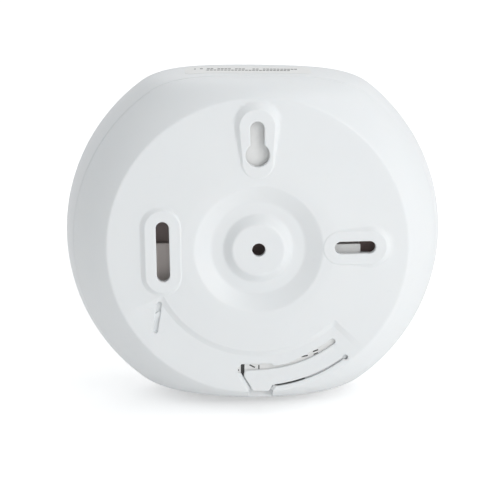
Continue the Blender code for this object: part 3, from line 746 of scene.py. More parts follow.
def metal(name, colour, roughness, stretch=(1.0, 1.0, 1.0)):
    """Metal with fine lines; stretch squeezes them along an axis."""
    material, tree, shader, place = new_material(name)
    stretched = add_node(tree, "Mapping", {"Scale": stretch, "Vector": place}).outputs["Vector"]
    lines = noise(tree, stretched, 900.0, 4.0, 0.6)
    tarnish = spread(tree, noise(tree, place, 160.0), 0.0, 1.0, from_min=0.35)
    feed(tree, shader, {
        "Base Color": mix_colour(tree, tarnish, colour, shade(colour, 0.7)),
        "Metallic": 1.0,
        "Roughness": spread(tree, lines, roughness - 0.07, roughness + 0.1),
        "Normal": bump(tree, lines, strength=0.3, distance=0.00001),
    })
    return material


def glassy(name, colour, roughness=0.05, transmission=0.9):
    material, tree, shader, place = new_material(name)
    swirl = noise(tree, place, 300.0)
    tone = spread(tree, swirl, 0.0, 1.0)
    feed(tree, shader, {
        "Base Color": mix_colour(tree, tone, colour, shade(colour, 0.9)),
        "Transmission Weight": transmission,
        "IOR": 1.49,
        "Roughness": spread(tree, swirl, roughness, roughness + 0.08),
        "Normal": bump(tree, swirl, strength=0.05, distance=0.00005),
    })
    return material


def circuit_board():
    """Green solder mask over a grid of paler tracks."""
    material, tree, shader, place = new_material("solder_mask")
    upright = add_node(tree, "Mapping", {"Rotation": (math.pi / 2, 0, 0), "Vector": place})
    inputs = {"Scale": 160.0, "Mortar Size": 0.03, "Vector": upright.outputs["Vector"]}
    tracks = add_node(tree, "TexBrick", inputs).outputs["Fac"]
    weave = noise(tree, place, 1500.0, 2.0)
    dark, light, track = (0.015, 0.13, 0.055), (0.02, 0.17, 0.07), (0.05, 0.28, 0.12)
    mask = mix_colour(tree, spread(tree, weave, 0.0, 1.0), dark, light)
    feed(tree, shader, {
        "Base Color": mix_colour(tree, tracks, mask, track),
        "Roughness": spread(tree, weave, 0.25, 0.38),
        "Normal": bump(tree, tracks, strength=0.4, distance=0.00003),
    })
    return material


BASE_WHITE = moulded_plastic(
    "base_white", (0.800, 0.815, 0.820), (0.785, 0.803, 0.812), roughness=0.46, subsurface=0.10)
COVER_WHITE = moulded_plastic(
    "cover_white", (0.805, 0.818, 0.825), (0.79, 0.805, 0.815), roughness=0.40, subsurface=0.10)
BUTTON_WHITE = moulded_plastic(
    "button_white", (0.81, 0.82, 0.825), (0.795, 0.81, 0.815), roughness=0.33, grain=2600.0,
    subsurface=0.10)
HOUSING_WHITE = moulded_plastic(
    "housing_white", (0.60, 0.585, 0.575), (0.56, 0.545, 0.535), roughness=0.5)
BLACK = moulded_plastic(
    "black_plastic", (0.018, 0.018, 0.02), (0.012, 0.012, 0.013), roughness=0.5, grain_depth=3e-5)
CHIP = moulded_plastic(
    "chip_epoxy", (0.028, 0.028, 0.03), (0.018, 0.018, 0.02), roughness=0.42, grain=3200.0)
CELL = moulded_plastic(
    "cell_sleeve", (0.07, 0.10, 0.30), (0.055, 0.08, 0.25), roughness=0.28, grain=900.0)
CAN = moulded_plastic(
    "can_sleeve", (0.05, 0.05, 0.07), (0.03, 0.03, 0.045), roughness=0.3, grain=900.0)
CERAMIC = moulded_plastic(
    "piezo_ceramic", (0.82, 0.80, 0.74), (0.76, 0.74, 0.68), roughness=0.45, grain=2400.0)
STEEL = metal("plated_steel", (0.62, 0.62, 0.63), roughness=0.28)
MESH_STEEL = metal("mesh_steel", (0.42, 0.42, 0.43), roughness=0.35, stretch=(1, 1, 6))
BRASS = metal("brass", (0.75, 0.57, 0.27), roughness=0.26, stretch=(1, 1, 8))
COPPER = metal("copper", (0.74, 0.38, 0.22), roughness=0.3)
CLEAR = glassy("clear_acrylic", (0.86, 0.92, 0.90))
LAMP = glassy("lamp_lens", (0.72, 0.90, 0.74), roughness=0.08, transmission=0.7)
# bars beside the latch: x, z, half length, half width in millimetres, degrees
MARKS = [
    (5.1, -37.5, 2.05, 0.56, -89), (2.2, -36.4, 0.9, 0.2, 29),
    (0.2, -36.8, 0.72, 0.18, 91), (-13.6, -33.7, 1.00, 0.2, -11),
    (-16.9, -32.1, 0.83, 0.2, -19), (-17.0, -33.0, 0.73, 0.16, -21),
    (6.3, -37.5, 0.2, 0.16, 91), (6.3, -38.9, 0.2, 0.16, 91),
]
RATING_PRINT = printed_label(
    "rating_print", paper=(0.80, 0.80, 0.79), ink=(0.02, 0.02, 0.02), across_axis=2,
    band=(-0.024, -0.014), row_pitch=0.0024, word_pitch=0.0017, marks=MARKS)
# Plate colours painted as shade: the dark browns paint the shade deep in the centre hole, the left
# slot and the window behind the right slot; the warm grey paints the shaded floor of the right slot.
PAINTED_SHADE_BROWN = moulded_plastic("painted_shade_brown", (0.27, 0.195, 0.19), (0.245, 0.18, 0.175), roughness=0.6)
PAINTED_SHADE_PLUG = moulded_plastic("painted_shade_plug", (0.40, 0.325, 0.31), (0.37, 0.30, 0.29), roughness=0.6)
PAINTED_SHADE_GREY = moulded_plastic("painted_shade_grey", (0.76, 0.69, 0.66), (0.72, 0.66, 0.63), roughness=0.6)
BOARD = circuit_board()
DATE_PRINT = printed_label(
    "date_print", paper=(0.82, 0.82, 0.81), ink=(0.03, 0.03, 0.03), across_axis=1,
    band=(-0.00077, 0.00302), row_pitch=0.0019, word_pitch=0.00105, fill=0.86, shift=0.000775,
    span=(0.00135, 0.01605, 0.0034), row_height=0.27)

# ------------------------------------------------------------------ the base's face
SKIRT_R = 43.95  # where the drawn face hands over to the turned skirt
# (radius, depth) of the face
PROFILE = smoothed(
    [(0, 0.0), (7.75, 0.0), (10.15, 2.5), (13.9, 2.52), (18.9, 0.16), (22.5, 0.16),
     (SKIRT_R + 1.5, 1.80)],
    sigma=0.27,
)
# pads level with the wall round the openings, as (start, end, start radius, end radius)
PAD_SLOPE = 0.8
PADS = (
    ((0, 36.2), (0, 25.8), 5.15, 4.4),
    ((28.05, 7.1), (28.05, -7.1), 5.15, 5.15),
    ((-32.7, 0), (-24.0, 0), 5.0, 4.8),
)
SLIT = ((29.53, -16.1), (30.9, -24.2), 0.72, 0.72)
SECTOR_START, SECTOR_END, SECTOR_R, SECTOR_DEPTH = -135.3, -25.2, 31.3, 1.7
NOTCH_X0, NOTCH_X1, NOTCH_DEPTH = -3.95, 3.45, 5.2
NOTCH_PHI, NOTCH_FADE = 4.5, 14.0  # degrees from the foot of the notch's sides, and its reach
NOTCH_FLOOR_Y = -42.6
# the latch: its root's angle, the arm's two radii and those of the opening round it
ROOT = -126.9
ARM_IN, ARM_OUT = 37.3, 42.36
OPEN_IN, OPEN_OUT = 35.6, 42.96


def keyhole_outline():
    """A round head hole with a narrower slot rising from it."""
    head_y, head_radius, slot_radius, top = 28.1, 3.5, 2.05, 35.8
    angle = math.degrees(math.asin(slot_radius / head_radius))
    head = arc(head_radius, 90 + angle, 450 - angle, 0.3, (0, head_y))
    cap = arc(slot_radius, 0, 180, 0.3, (0, top))
    return densify(np.vstack([head, cap]), 0.35, closed=True)


def bulb(centre, radius, from_point, to_point, steps):
    """A round slot end about a centre, between two points, on the side past the arm's root."""
    start, end = bearing(from_point - centre), bearing(to_point - centre)
    sweep = (end - start) % (2 * math.pi)
    if (math.radians(ROOT - 90) - start) % (2 * math.pi) > sweep:
        sweep -= 2 * math.pi
    from_excess = np.linalg.norm(from_point - centre) - radius
    to_excess = np.linalg.norm(to_point - centre) - radius
    path = []
    for k in range(steps + 1):
        t = k / steps
        reach = radius + from_excess * max(0, 1 - t * 5) + to_excess * max(0, 1 - (1 - t) * 5)
        angle = start + sweep * t
        path.append(centre + reach * np.array([math.cos(angle), math.sin(angle)]))
    return np.array(path)


def latch_opening():
    """The open outline of the latch's cut-out, from the notch's right corner to its left one, the
    line of the arm's root, and the cut-out's edges on either side of the root."""
    right_corner = np.array([NOTCH_X1, -math.sqrt(SKIRT_R**2 - NOTCH_X1**2)])
    left_corner = np.array([NOTCH_X0, -math.sqrt(SKIRT_R**2 - NOTCH_X0**2)])
    pocket = rounded_path(
        [right_corner, (6.65, -38.3), (6.6, -36.85), (5.5, -35.45), (-3.4, -35.55),
         polar(36.5, -96.9), polar(36.6, -101.8)],
        [0.35, 0.35, 0.3, 0.35, 0.4],
    )
    # the inner edge narrows towards the root
    taper_angle = np.array([-101.8, -103.5, -106, -109, -112, -115, -118, ROOT])
    taper_radius = np.array([36.6, 36.5, 36.28, 36.02, 35.82, 35.7, 35.62, OPEN_IN])
    angles = np.arange(-102.4, ROOT, -0.6)
    radii = np.interp(-angles, -taper_angle, taper_radius)
    inner = np.array([polar(*at) for at in zip(radii, angles)] + [polar(OPEN_IN, ROOT)])
    centre = polar((OPEN_IN + ARM_IN) / 2, ROOT)
    end_in = bulb(centre, (ARM_IN - OPEN_IN) / 2, inner[-1], polar(ARM_IN, ROOT), 14)
    centre = polar(42.8, ROOT - 0.15)
    outer_root = ROOT + 0.75
    end_out = bulb(centre, 0.78, polar(ARM_OUT, outer_root), polar(OPEN_OUT, ROOT + 0.9), 22)
    radii, angles = np.linspace(ARM_IN, ARM_OUT, 18), np.linspace(ROOT, outer_root, 18)
    root = np.array([polar(*at) for at in zip(radii, angles)])
    outer = arc(OPEN_OUT, ROOT + 0.9, -97.4, 0.4)
    left = rounded_path(
        [outer[-1], polar(OPEN_OUT, -96.9), (-4.9, -42.45), left_corner], [0.2, 0.3])
    path = np.vstack(
        [pocket, inner[:-1], end_in[:-1], root[:-1], end_out[:-1], outer[:-1], left])
    inner_side = np.vstack([pocket, inner[:-1], end_in])
    outer_side = np.vstack([end_out, outer[1:], left[1:]])
    return densify(distinct(path, 1e-4), 0.45), root, inner_side, outer_side


opening, root_line, *OPENING_SIDES = latch_opening()
HOLES = [
    stadium((28.05, 7.1), (28.05, -7.1), 1.92, 1.92, 0.35),
    stadium((-32.7, 0), (-24.25, 0), 1.85, 1.85, 0.35),
    circle(1.95, 0.3),
    keyhole_outline(),
]


def sunk(points):
    """0 on the plain face, 1 on the floor of the sunk sector, with a straight ramp between."""
    radius = np.hypot(points[:, 0], points[:, 1])
    angle = np.degrees(np.arctan2(points[:, 1], points[:, 0]))
    past_start = radius * np.sin(np.radians(np.clip(angle - SECTOR_START, -90, 90)))
    before_end = radius * np.sin(np.radians(np.clip(SECTOR_END - angle, -90, 90)))
    within = soft_min(soft_min(radius - SECTOR_R, past_start, 0.8), before_end, 0.8)
    return np.clip((ramp(within + 0.1, 0.2) - ramp(within - 1.7, 0.2)) / 1.8, 0, 1)


def plan_height(points):
    """Depth of the base's outer face, without the rounded edges of its openings."""
    height = np.interp(np.hypot(points[:, 0], points[:, 1]), *PROFILE)
    height = height + (np.maximum(height, SECTOR_DEPTH) - height) * sunk(points)
    for pad in PADS:
        pad_height = PAD_SLOPE * ramp(capsule_distance(points, *pad), 0.2)
        height = soft_min(height, pad_height, 0.12)
    t = np.clip((0.1 - capsule_distance(points, *SLIT)) / 0.82, 0, 1)
    return height + 1.35 * (1 - (1 - t) ** 2) ** 0.8


def face_height(points):
    # the arm's root is solid, so there is no edge to round there
    return plan_height(points) + fillet(edge_distance(points, HOLES, OPENING_SIDES), EDGE)


def underside(points):
    """Depth of the base's inner face: a wall of 2.15, thinner where the alarm's back comes near."""
    radius = np.hypot(points[:, 0], points[:, 1])
    boss = np.clip((14.5 - radius) / 3.0, 0, 1)
    depth = plan_height(points) + 2.15 - 1.25 * sunk(points) - 0.4 * boss
    near = np.clip((radius - 18.5) / 3.0, 0, 1) * np.clip((41.5 - radius) / 1.2, 0, 1)
    return depth + (np.minimum(depth, 2.6) - depth) * near


# ------------------------------------------------------------------ the base's skirt
def skirt_stations():
    """Outer profile of the skirt from the face's edge over the rim to the seam, as rows of
    (radius, depth, inset of the flats)."""
    face = [(SKIRT_R - 3 + 0.1 * i, np.interp(SKIRT_R - 3 + 0.1 * i, *PROFILE)) for i in range(44)]
    face = [point for point in face if point[0] < 44.75]
    depths = np.arange(2.0, SEAM_BASE - 0.3, 0.1)
    path = np.array(face + list(zip(body_radius(depths), depths)))
    # round the corner between face and wall
    step, half = 0.05, 24
    length = np.r_[0, np.cumsum(np.linalg.norm(np.diff(path, axis=0), axis=1))]
    at = np.arange(0, length[-1], step)
    even = np.c_[np.interp(at, length, path[:, 0]), np.interp(at, length, path[:, 1])]
    padded = np.pad(even, ((half, half), (0, 0)), mode="reflect", reflect_type="odd")
    kernel = gauss_kernel(half, step, sigma=0.36)
    smooth = np.stack([np.convolve(padded[:, i], kernel, "valid") for i in (0, 1)], 1)
    # thin the points out, closer together over the rim
    rows = [(SKIRT_R, float(np.interp(SKIRT_R, *PROFILE)))]
    for point in smooth[smooth[:, 0] > SKIRT_R]:
        gap = 0.22 if point[1] < 6.0 else 0.55
        if np.linalg.norm(point - np.array(rows[-1])) >= gap:
            rows.append(tuple(point))
    # one row lies exactly on the notch's floor
    rows = [row for row in rows if abs(row[1] - NOTCH_DEPTH) > 0.12]
    rows.append((float(body_radius(NOTCH_DEPTH)), NOTCH_DEPTH))
    rows.sort(key=lambda row: (row[1], row[0]))
    stations = [(*row, 0.0) for row in rows if row[1] < SEAM_BASE - 0.45]
    stations.append((float(body_radius(SEAM_BASE - 0.32)), SEAM_BASE - 0.32, 0.0))
    for angle in (30, 60, 90):
        inset, setback = quarter_round(angle, SEAM_ROUND)
        stations.append((float(body_radius(SEAM_BASE)) - inset, SEAM_BASE - setback, inset))
    return np.array(stations)


def column_angles(stations, phi):
    """Angle in radians of each column at each station. phi is in degrees from the foot.
    Near the notch the columns keep their x, so its sides are straight."""
    plain = np.radians(phi - 90.0)
    x = (NOTCH_X0 + NOTCH_X1) / 2 + (NOTCH_X1 - NOTCH_X0) / 2 * phi / NOTCH_PHI
    near = np.abs(phi) < NOTCH_FADE
    fade = smoothstep((np.abs(phi) - NOTCH_PHI) / (NOTCH_FADE - NOTCH_PHI))
    rows = []
    for radius, depth, _ in stations:
        angle = plain.copy()
        for _ in range(8):
            reach = cut_radius(radius, depth, angle)
            angle = np.where(near, -np.pi / 2 + np.arcsin(np.clip(x / reach, -1, 1)), plain)
        rows.append(np.where(near, angle * (1 - fade) + plain * fade, plain))
    return np.array(rows)


def skirt_outer(stations, angles):
    """Points [station][column] of the outer skin."""
    radii = np.array([cut_radius(r, s, a, inset) for (r, s, inset), a in zip(stations, angles)])
    radii[0] = SKIRT_R
    depths = np.repeat(stations[:, 1:2], COLUMNS, 1)
    grid = np.stack([radii * np.cos(angles), radii * np.sin(angles), depths], 2)
    # the first row takes the drawn face's own height, which fades out over six rows
    difference = plan_height(grid[0, :, :2]) - stations[0, 1]
    for k in range(6):
        grid[k, :, 2] += difference * (1 - k / 6.0)
    return grid


def skirt_inner(stations, angles, phi, outer, notch_row):
    """The inner mates of the outer skin's points. The first row belongs to the face."""
    slope = unit_rows(np.gradient(stations[:, :2], axis=0))
    rows = []
    for k, (radius, depth, _) in enumerate(stations):
        away = min(1.0, k / 8.0)  # the full wall is reached eight rows from the face
        if depth > SEAM_BASE - 0.45:
            radius = float(body_radius(SEAM_BASE)) - WALL
        else:
            radius -= 2.05 * slope[k, 1] * away
            depth += 2.1 * slope[k, 0] * away + 2.15 * (1 - away)
        reach = cut_radius(radius, depth, angles[k], WALL * away)
        rows.append(np.stack(
            [reach * np.cos(angles[k]), reach * np.sin(angles[k]), np.full(COLUMNS, depth)], 1))
    inner = np.array(rows)
    # the notch has a level floor that runs in under the latch's tab
    floor = np.abs(phi) <= NOTCH_PHI + 1e-6
    inner[notch_row, floor, 0] = outer[notch_row, floor, 0]
    inner[notch_row, floor, 1] = NOTCH_FLOOR_Y
    inner[notch_row, floor, 2] = NOTCH_DEPTH + 0.05
    for k in range(notch_row + 1, len(stations)):
        t = (k - notch_row) / (len(stations) - 1 - notch_row)
        if t >= 0.4:
            break
        keep = 0.5 + t * 1.25
        inner[k, floor, 1] = inner[k, floor, 1] * keep + NOTCH_FLOOR_Y * (1 - keep)
        inner[k, floor, 2] = np.maximum(inner[k, floor, 2], NOTCH_DEPTH + 1.2)
    return inner


def lean_walls(flat, inner):
    """Moves the inner edge of the cut-out's slanted sides, so that those sides slope."""
    # (start, end, shift) of each side
    sides = (
        ((6.65, -38.3), (3.45, -43.81), (-0.75, 0.38)),
        ((-4.9, -42.45), (-3.95, -43.77), (0.75, 0.08)),
    )
    for start, end, shift in sides:
        run = np.array(end) - start
        t = ((flat - start) @ run) / (run @ run)
        on_side = start + np.clip(t, 0, 1)[:, None] * run
        near = np.linalg.norm(flat - on_side, axis=1) < 0.12
        weight = np.clip(np.minimum(t + 0.05, 1.2) / 0.12, 0, 1) * near
        inner[:, :2] += weight[:, None] * shift


def base_clouds():
    """Inner mesh points of the base's face, denser along every edge and ramp."""
    both_sides = [offset * side for offset in EDGE_OFFSETS for side in (1, -1)]
    rings = [offset_rings(hole, both_sides, 0.4) for hole in HOLES]
    rings.append(offset_rings(opening, both_sides, 0.4, closed=False))
    clouds = [(off_edges(ring, HOLES, [opening]), 0.035) for ring in rings]
    for start, end, start_radius, end_radius in PADS:
        for off in (-0.5, -0.2, 0.0, 0.2, 0.45, 0.8, 1.2, 1.7):
            ring = stadium(start, end, start_radius + off, end_radius + off, 0.55)
            clouds.append((ring, 0.16))
    for off in np.arange(-0.4, 2.1, 0.22):
        clouds.append((arc(SECTOR_R + off, SECTOR_START, SECTOR_END, 0.6), 0.16))
        for angle, side in ((SECTOR_START, 1), (SECTOR_END, -1)):
            radii = np.arange(SECTOR_R - 0.5, SKIRT_R, 0.6)
            line = radii[:, None] * polar(1, angle) + tangent(angle) * side * off
            clouds.append((line, 0.16))
    start, end, radius, _ = SLIT
    for off in (-0.68, -0.5, -0.32, -0.15, -0.03, 0.05, 0.12, 0.25):
        clouds.append((stadium(start, end, radius + off, radius + off, 0.3), 0.06))
    for radius in np.arange(2.6, 22.0, 0.42):
        clouds.append((circle(radius, 0.75), 0.2))
    clouds.append((hex_grid(-44, 44, -44, 44, 1.15), 0.5))
    return clouds


def base_islands():
    """Four blocks inside the skirt and one short rib under the face."""
    islands = []
    for angle in (45, 135, 225, 315):
        block = sector_outline(46.9, 51.2, angle - 5.5, angle + 5.5)
        islands.append(prism(block, 10.2, 12.0))
    rib_radius, rib_angle = 36.06, -33.1
    corners = ((-1.5, -0.8), (1.5, -0.8), (1.5, 0.8), (-1.5, 0.8))
    rib = [polar(rib_radius + out, rib_angle) + tangent(rib_angle) * aside
           for out, aside in corners]
    return islands + [prism(rib, 2.1, 8.0)]


def build_base():
    stations = skirt_stations()
    phi = (np.arange(COLUMNS) * 360.0 / COLUMNS + 180.0) % 360.0 - 180.0
    angles = column_angles(stations, phi)
    grid = skirt_outer(stations, angles)
    notch_row = int(np.argmin(np.abs(stations[:, 1] - NOTCH_DEPTH)))
    inner_grid = skirt_inner(stations, angles, phi, grid, notch_row)

    # the face, bounded by the skirt's first row from one side of the notch round to the other
    first = int(np.argmin(np.abs(phi - NOTCH_PHI)))
    around = [(first + i) % COLUMNS for i in range(COLUMNS)]
    ring = [column for column in around if abs(phi[column]) >= NOTCH_PHI - 1e-6]
    outline = np.vstack([grid[0, ring, :2], opening[-2:0:-1]])
    flat, triangles, loop_points = sheet([outline] + HOLES, base_clouds())
    ring_points = loop_points[0][: len(ring)]
    face_outer = np.c_[flat, face_height(flat)]
    face_outer[ring_points, 2] = grid[0, ring, 2]
    face_inner = np.c_[flat, underside(flat)]
    lean_walls(flat, face_inner)

    outer = np.vstack([face_outer, grid[1:].reshape(-1, 3)])
    inner = np.vstack([face_inner, inner_grid[1:].reshape(-1, 3)])
    skirt_normals = grid_normals(grid)[1:].reshape(-1, 3)
    normals = np.vstack([sheet_normals(face_height, flat), skirt_normals])

    # point numbers [station][column]; the first row is the face's, and has none in the notch
    numbers = len(flat) + np.arange(grid[:, :, 0].size).reshape(-1, COLUMNS) - COLUMNS
    numbers[0] = -1
    numbers[0, ring] = ring_points
    numbers = numbers.tolist()
    in_notch = np.abs(phi + 180.0 / COLUMNS) < NOTCH_PHI  # by the middle of each quad
    faces = as_faces(triangles[:, ::-1])
    for k, (row, following) in enumerate(zip(numbers[:-1], numbers[1:])):
        for i in range(COLUMNS):
            if k < notch_row and in_notch[i]:
                continue
            j = (i + 1) % COLUMNS
            faces.append((row[i], row[j], following[j], following[i]))
    return shell("base_shell", outer, inner, faces, normals, BASE_WHITE, base_islands())


# ------------------------------------------------------------------ the latch arm
def arm_outline():
    inner = arc(ARM_IN, ROOT, -94.0, 0.45)
    tip = rounded_path(
        [polar(ARM_IN, -94.0), (-2.2, -37.28), (4.5, -37.5), (4.78, -39.1), (2.05, -43.95),
         (-2.8, -44.1), (-3.7, -42.35), polar(ARM_OUT, -96.6)],
        [3.0, 0.3, 0.5, 0.3, 0.3, 0.35],
    )
    outer = arc(ARM_OUT, -96.6, ROOT + 0.75, 0.45)
    path = np.vstack([root_line[:0:-1], inner[:-1], tip[:-1], outer[:-1]])
    return densify(distinct(path, 1e-3), 0.45, closed=True)


def build_arm():
    outline = arm_outline()
    free_edge = np.vstack([outline[len(root_line) - 1 :], outline[:1]])

    def height(points):
        distance = segment_distance(points, free_edge, closed=False)
        on_root = segment_distance(points, root_line, closed=False) < 0.02
        return SECTOR_DEPTH + fillet(np.where(on_root, 9.0, distance), EDGE)

    clouds = []
    for off in EDGE_OFFSETS:
        clouds.append((off_edges(offset_rings(outline, [off, -off], 0.4), [outline]), 0.035))
    clouds.append((hex_grid(-30, 8, -46, -24, 0.8), 0.3))
    flat, triangles, _ = sheet([outline], clouds)
    outer = np.c_[flat, height(flat)]
    inner = np.c_[flat, np.full(len(flat), SECTOR_DEPTH + 0.9)]
    normals = sheet_normals(height, flat)
    # along the root the arm meets the base's two skins
    root = segment_distance(flat, root_line, closed=False) < 1e-3
    outer[root, 2] = face_height(flat[root])
    inner[root, 2] = underside(flat[root])
    normals[root] = sheet_normals(face_height, flat[root])
    leg_outline = [(-2.3, -42.6), (2.1, -42.6), (2.1, -39.6), (-2.3, -39.6)]
    leg = prism(leg_outline, SECTOR_DEPTH + 0.6, 8.9)
    faces = as_faces(triangles[:, ::-1])
    return shell("latch_tongue", outer, inner, faces, normals, BASE_WHITE, [leg])


base_shell = build_base()
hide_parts("mounting_base")
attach(base_shell, "base")
latch = build_arm()
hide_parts("latch_arm")
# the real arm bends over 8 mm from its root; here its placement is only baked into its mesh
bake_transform(latch)

# ------------------------------------------------------------------ the front cover
INLETS, INLET_R, INLET_BACK_R = 24, 37.0, 34.9
INLET_DEPTHS = (42.4, 43.5, 44.6)
CAP_RADII = CAP_IN, CAP_OUT = 19.4, 34.0
CAP_TOP, CAP_UNDER = (48.08, 47.44), (46.0, 45.33)  # depths at the cap's two radii
# the sound outlet's slots, as (y, half length)
GRILLE = ((1.0, 4.0), (4.6, 5.2), (8.2, 5.6), (11.8, 5.0), (15.4, 3.4))
GRILLE_X, GRILLE_RADIUS = 26.0, 0.85
PIPE_CENTRE, PIPE_RADIUS = (0.0, 27.0), 1.75


def cover_outside():
    """The cover's profile from the seam over the shoulder and the inlet channel to the cap, as
    (radius, depth, inset of the flats)."""
    edge = float(body_radius(SEAM_COVER))
    path = [(edge - WALL, SEAM_COVER, WALL), (edge - 1.2, SEAM_COVER, 1.2)]
    for angle in (90, 60, 30, 0):
        inset, setback = quarter_round(angle, SEAM_ROUND)
        path.append((edge - inset, SEAM_COVER + setback, inset))
    depths = np.r_[15.45, np.arange(15.9, 39.0, 0.6), np.arange(39.0, 41.8, 0.2), 41.9]
    path += [(float(body_radius(depth)), float(depth), 0.0) for depth in depths]
    channel = rounded_path(
        [(44.0, 42.0), (INLET_R, 42.0), (INLET_R, 45.0), (40.1, 45.0), (41.2, 45.75),
         (40.0, 46.72), (36.5, 47.33), (CAP_OUT, CAP_TOP[1])],
        [0.35, 0.35, 0.35, 0.5, 1.4, 3.0],
        0.3,
    )
    path += [(radius, depth, 0.0) for radius, depth in densify(channel, 1.2)]
    # rows exactly at the rims of the inlets take the place of those close by
    for level in INLET_DEPTHS:
        path = [row for row in path
                if not (abs(row[0] - INLET_R) < 0.05 and abs(row[1] - level) < 0.2)]
        at = next(i for i, row in enumerate(path)
                  if abs(row[0] - INLET_R) < 0.36 and row[1] > level)
        path.insert(at, (INLET_R, level, 0.0))
    return path


def cover_inside():
    """The cover's profile under the cap, down the back of the inlets and along the wall."""
    path = [(CAP_OUT, CAP_UNDER[1], 0.0), (INLET_BACK_R, 45.3, 0.0)]
    path += [(INLET_BACK_R, level, 0.0) for level in reversed(INLET_DEPTHS)]
    path += [(INLET_BACK_R, 40.0, 0.0), (43.6, 40.0, WALL)]
    wall = (
        (46.5, 39.6), (49.0, 38.8), (51.4, 37.4), (53.2, 35.6), (54.7, 33.4), (55.6, 31.0),
        (56.0, 28.0), (55.9, 25.0), (55.4, 22.0), (54.6, 19.0), (53.9, 17.0),
    )
    return path + [(radius, depth, WALL) for radius, depth in wall]


def cap_sheet(angles):
    """The cap's ring with its holes: points of both skins, triangles and the two rims' points."""
    holes = [
        stadium((GRILLE_X - half, y), (GRILLE_X + half, y), GRILLE_RADIUS, GRILLE_RADIUS, 0.25)
        for y, half in GRILLE
    ]
    holes.append(circle(PIPE_RADIUS, 0.25, PIPE_CENTRE))
    spokes = np.c_[np.cos(angles), np.sin(angles)]

    def test(points):
        radius = np.hypot(points[:, 0], points[:, 1])
        return (radius < CAP_OUT - 1e-4) & (radius > CAP_IN) & outside_all(points, holes)

    clouds = []
    for off in (0.04, 0.1, 0.18, 0.27, 0.38):
        rings = np.vstack([offset_rings(hole, [off, -off], 0.3) for hole in holes])
        clouds.append((off_edges(rings, holes), 0.03))
    for radius in np.arange(CAP_IN + 0.9, CAP_OUT - 0.5, 1.2):
        clouds.append((circle(radius, 1.3), 0.5))
    rims = [CAP_OUT * spokes, CAP_IN * spokes]
    flat, triangles, loop_points = sheet(rims + holes, clouds, test)
    radius = np.hypot(flat[:, 0], flat[:, 1])
    top = np.interp(radius, CAP_RADII, CAP_TOP) - fillet(edge_distance(flat, holes), 0.3)
    top_skin = np.c_[flat, top]
    under_skin = np.c_[flat, np.interp(radius, CAP_RADII, CAP_UNDER)]
    return top_skin, under_skin, triangles, np.array(loop_points[0]), np.array(loop_points[1])


def build_cover():
    path = cover_outside()
    top_out = len(path) - 1
    button_well = rounded_path(
        [(CAP_IN, CAP_TOP[0]), (17.9, 48.14), (17.4, 47.9), (17.4, 46.1), (CAP_IN, CAP_UNDER[0])],
        [0.5, 0.25, 0.3],
        0.15,
    )
    top_in = len(path)
    path += [(radius, depth, 0.0) for radius, depth in button_well]
    under_in = len(path) - 1
    under_out = len(path)
    rows = np.array(path + cover_inside())

    angles = np.arange(COLUMNS) * 2 * math.pi / COLUMNS
    top, under, triangles, outer_rim, inner_rim = cap_sheet(angles)
    count = len(top)
    # four rows of the turned skin are the rims of the cap's two skins
    shared = {top_out: outer_rim, top_in: inner_rim,
              under_in: inner_rim + count, under_out: outer_rim + count}
    verts, numbers = [top, under], []
    following = 2 * count
    for k, (radius, depth, inset) in enumerate(rows):
        if k in shared:
            numbers.append(shared[k].tolist())
            continue
        reach = np.full(COLUMNS, radius)
        if radius > 42.0:
            reach = cut_radius(radius, depth, angles, inset)
        x, y = reach * np.cos(angles), reach * np.sin(angles)
        verts.append(np.stack([x, y, np.full(COLUMNS, depth)], 1))
        numbers.append(list(range(following, following + COLUMNS)))
        following += COLUMNS

    faces = as_faces(triangles) + as_faces(triangles[:, ::-1] + count)
    mate = {i: i + count for i in range(count)}
    inlet_rows = set()
    for level in INLET_DEPTHS:
        at_level = rows[:, 1] == level
        front = int(np.flatnonzero(at_level & (rows[:, 0] == INLET_R))[0])
        back = int(np.flatnonzero(at_level & (rows[:, 0] == INLET_BACK_R))[0])
        mate.update(zip(numbers[front], numbers[back]))
        inlet_rows |= {front, back}
    # each inlet leaves a fifth of its pitch standing on either side
    pitch = COLUMNS // INLETS
    cut = [pitch // 5 <= i % pitch < pitch - pitch // 5 for i in range(COLUMNS)]
    for k in range(len(rows)):
        m = (k + 1) % len(rows)
        if k in (top_out, under_in):
            continue
        is_inlet = k in inlet_rows and m in inlet_rows
        for i in range(COLUMNS):
            if is_inlet and cut[i]:
                continue
            j = (i + 1) % COLUMNS
            faces.append((numbers[k][i], numbers[k][j], numbers[m][j], numbers[m][i]))
    faces += mate_walls(faces, mate)
    return closed_piece("cover_shell", np.vstack(verts), faces, COVER_WHITE)


cover = build_cover()
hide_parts("front_cover")
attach(cover, "head")


# ------------------------------------------------------------------ the test button and its spring
def build_button():
    """A dished cap with a flange, a pusher beside the axis and a boss for the spring."""
    # (radius, depth)
    path = rounded_path(
        [(0, 47.45), (3.2, 47.45), (3.6, 47.8), (4.3, 47.8), (4.7, 47.46), (10.5, 47.6),
         (15.4, 47.95), (16.7, 47.55), (17.05, 46.5), (17.05, 45.75), (18.9, 45.75),
         (18.9, 44.7), (15.6, 44.7), (15.4, 46.0), (0, 46.0)],
        [0.4, 0.25, 0.25, 0.5, 8.0, 1.2, 0.9, 1.0, 0.3, 0.25, 0.2, 0.2, 0.4],
        0.2,
    )
    cap = turned(densify(path, 1.4), columns=180)
    pusher = round_prism(circle(1.7, 0.3, (8.0, -12.0)), 33.35, 46.6, 0.2)
    boss = round_prism(circle(5.4, 0.5), 44.95, 46.6, 0.2)
    return closed_piece("button_cap", *joined([cap, pusher, boss]), BUTTON_WHITE)


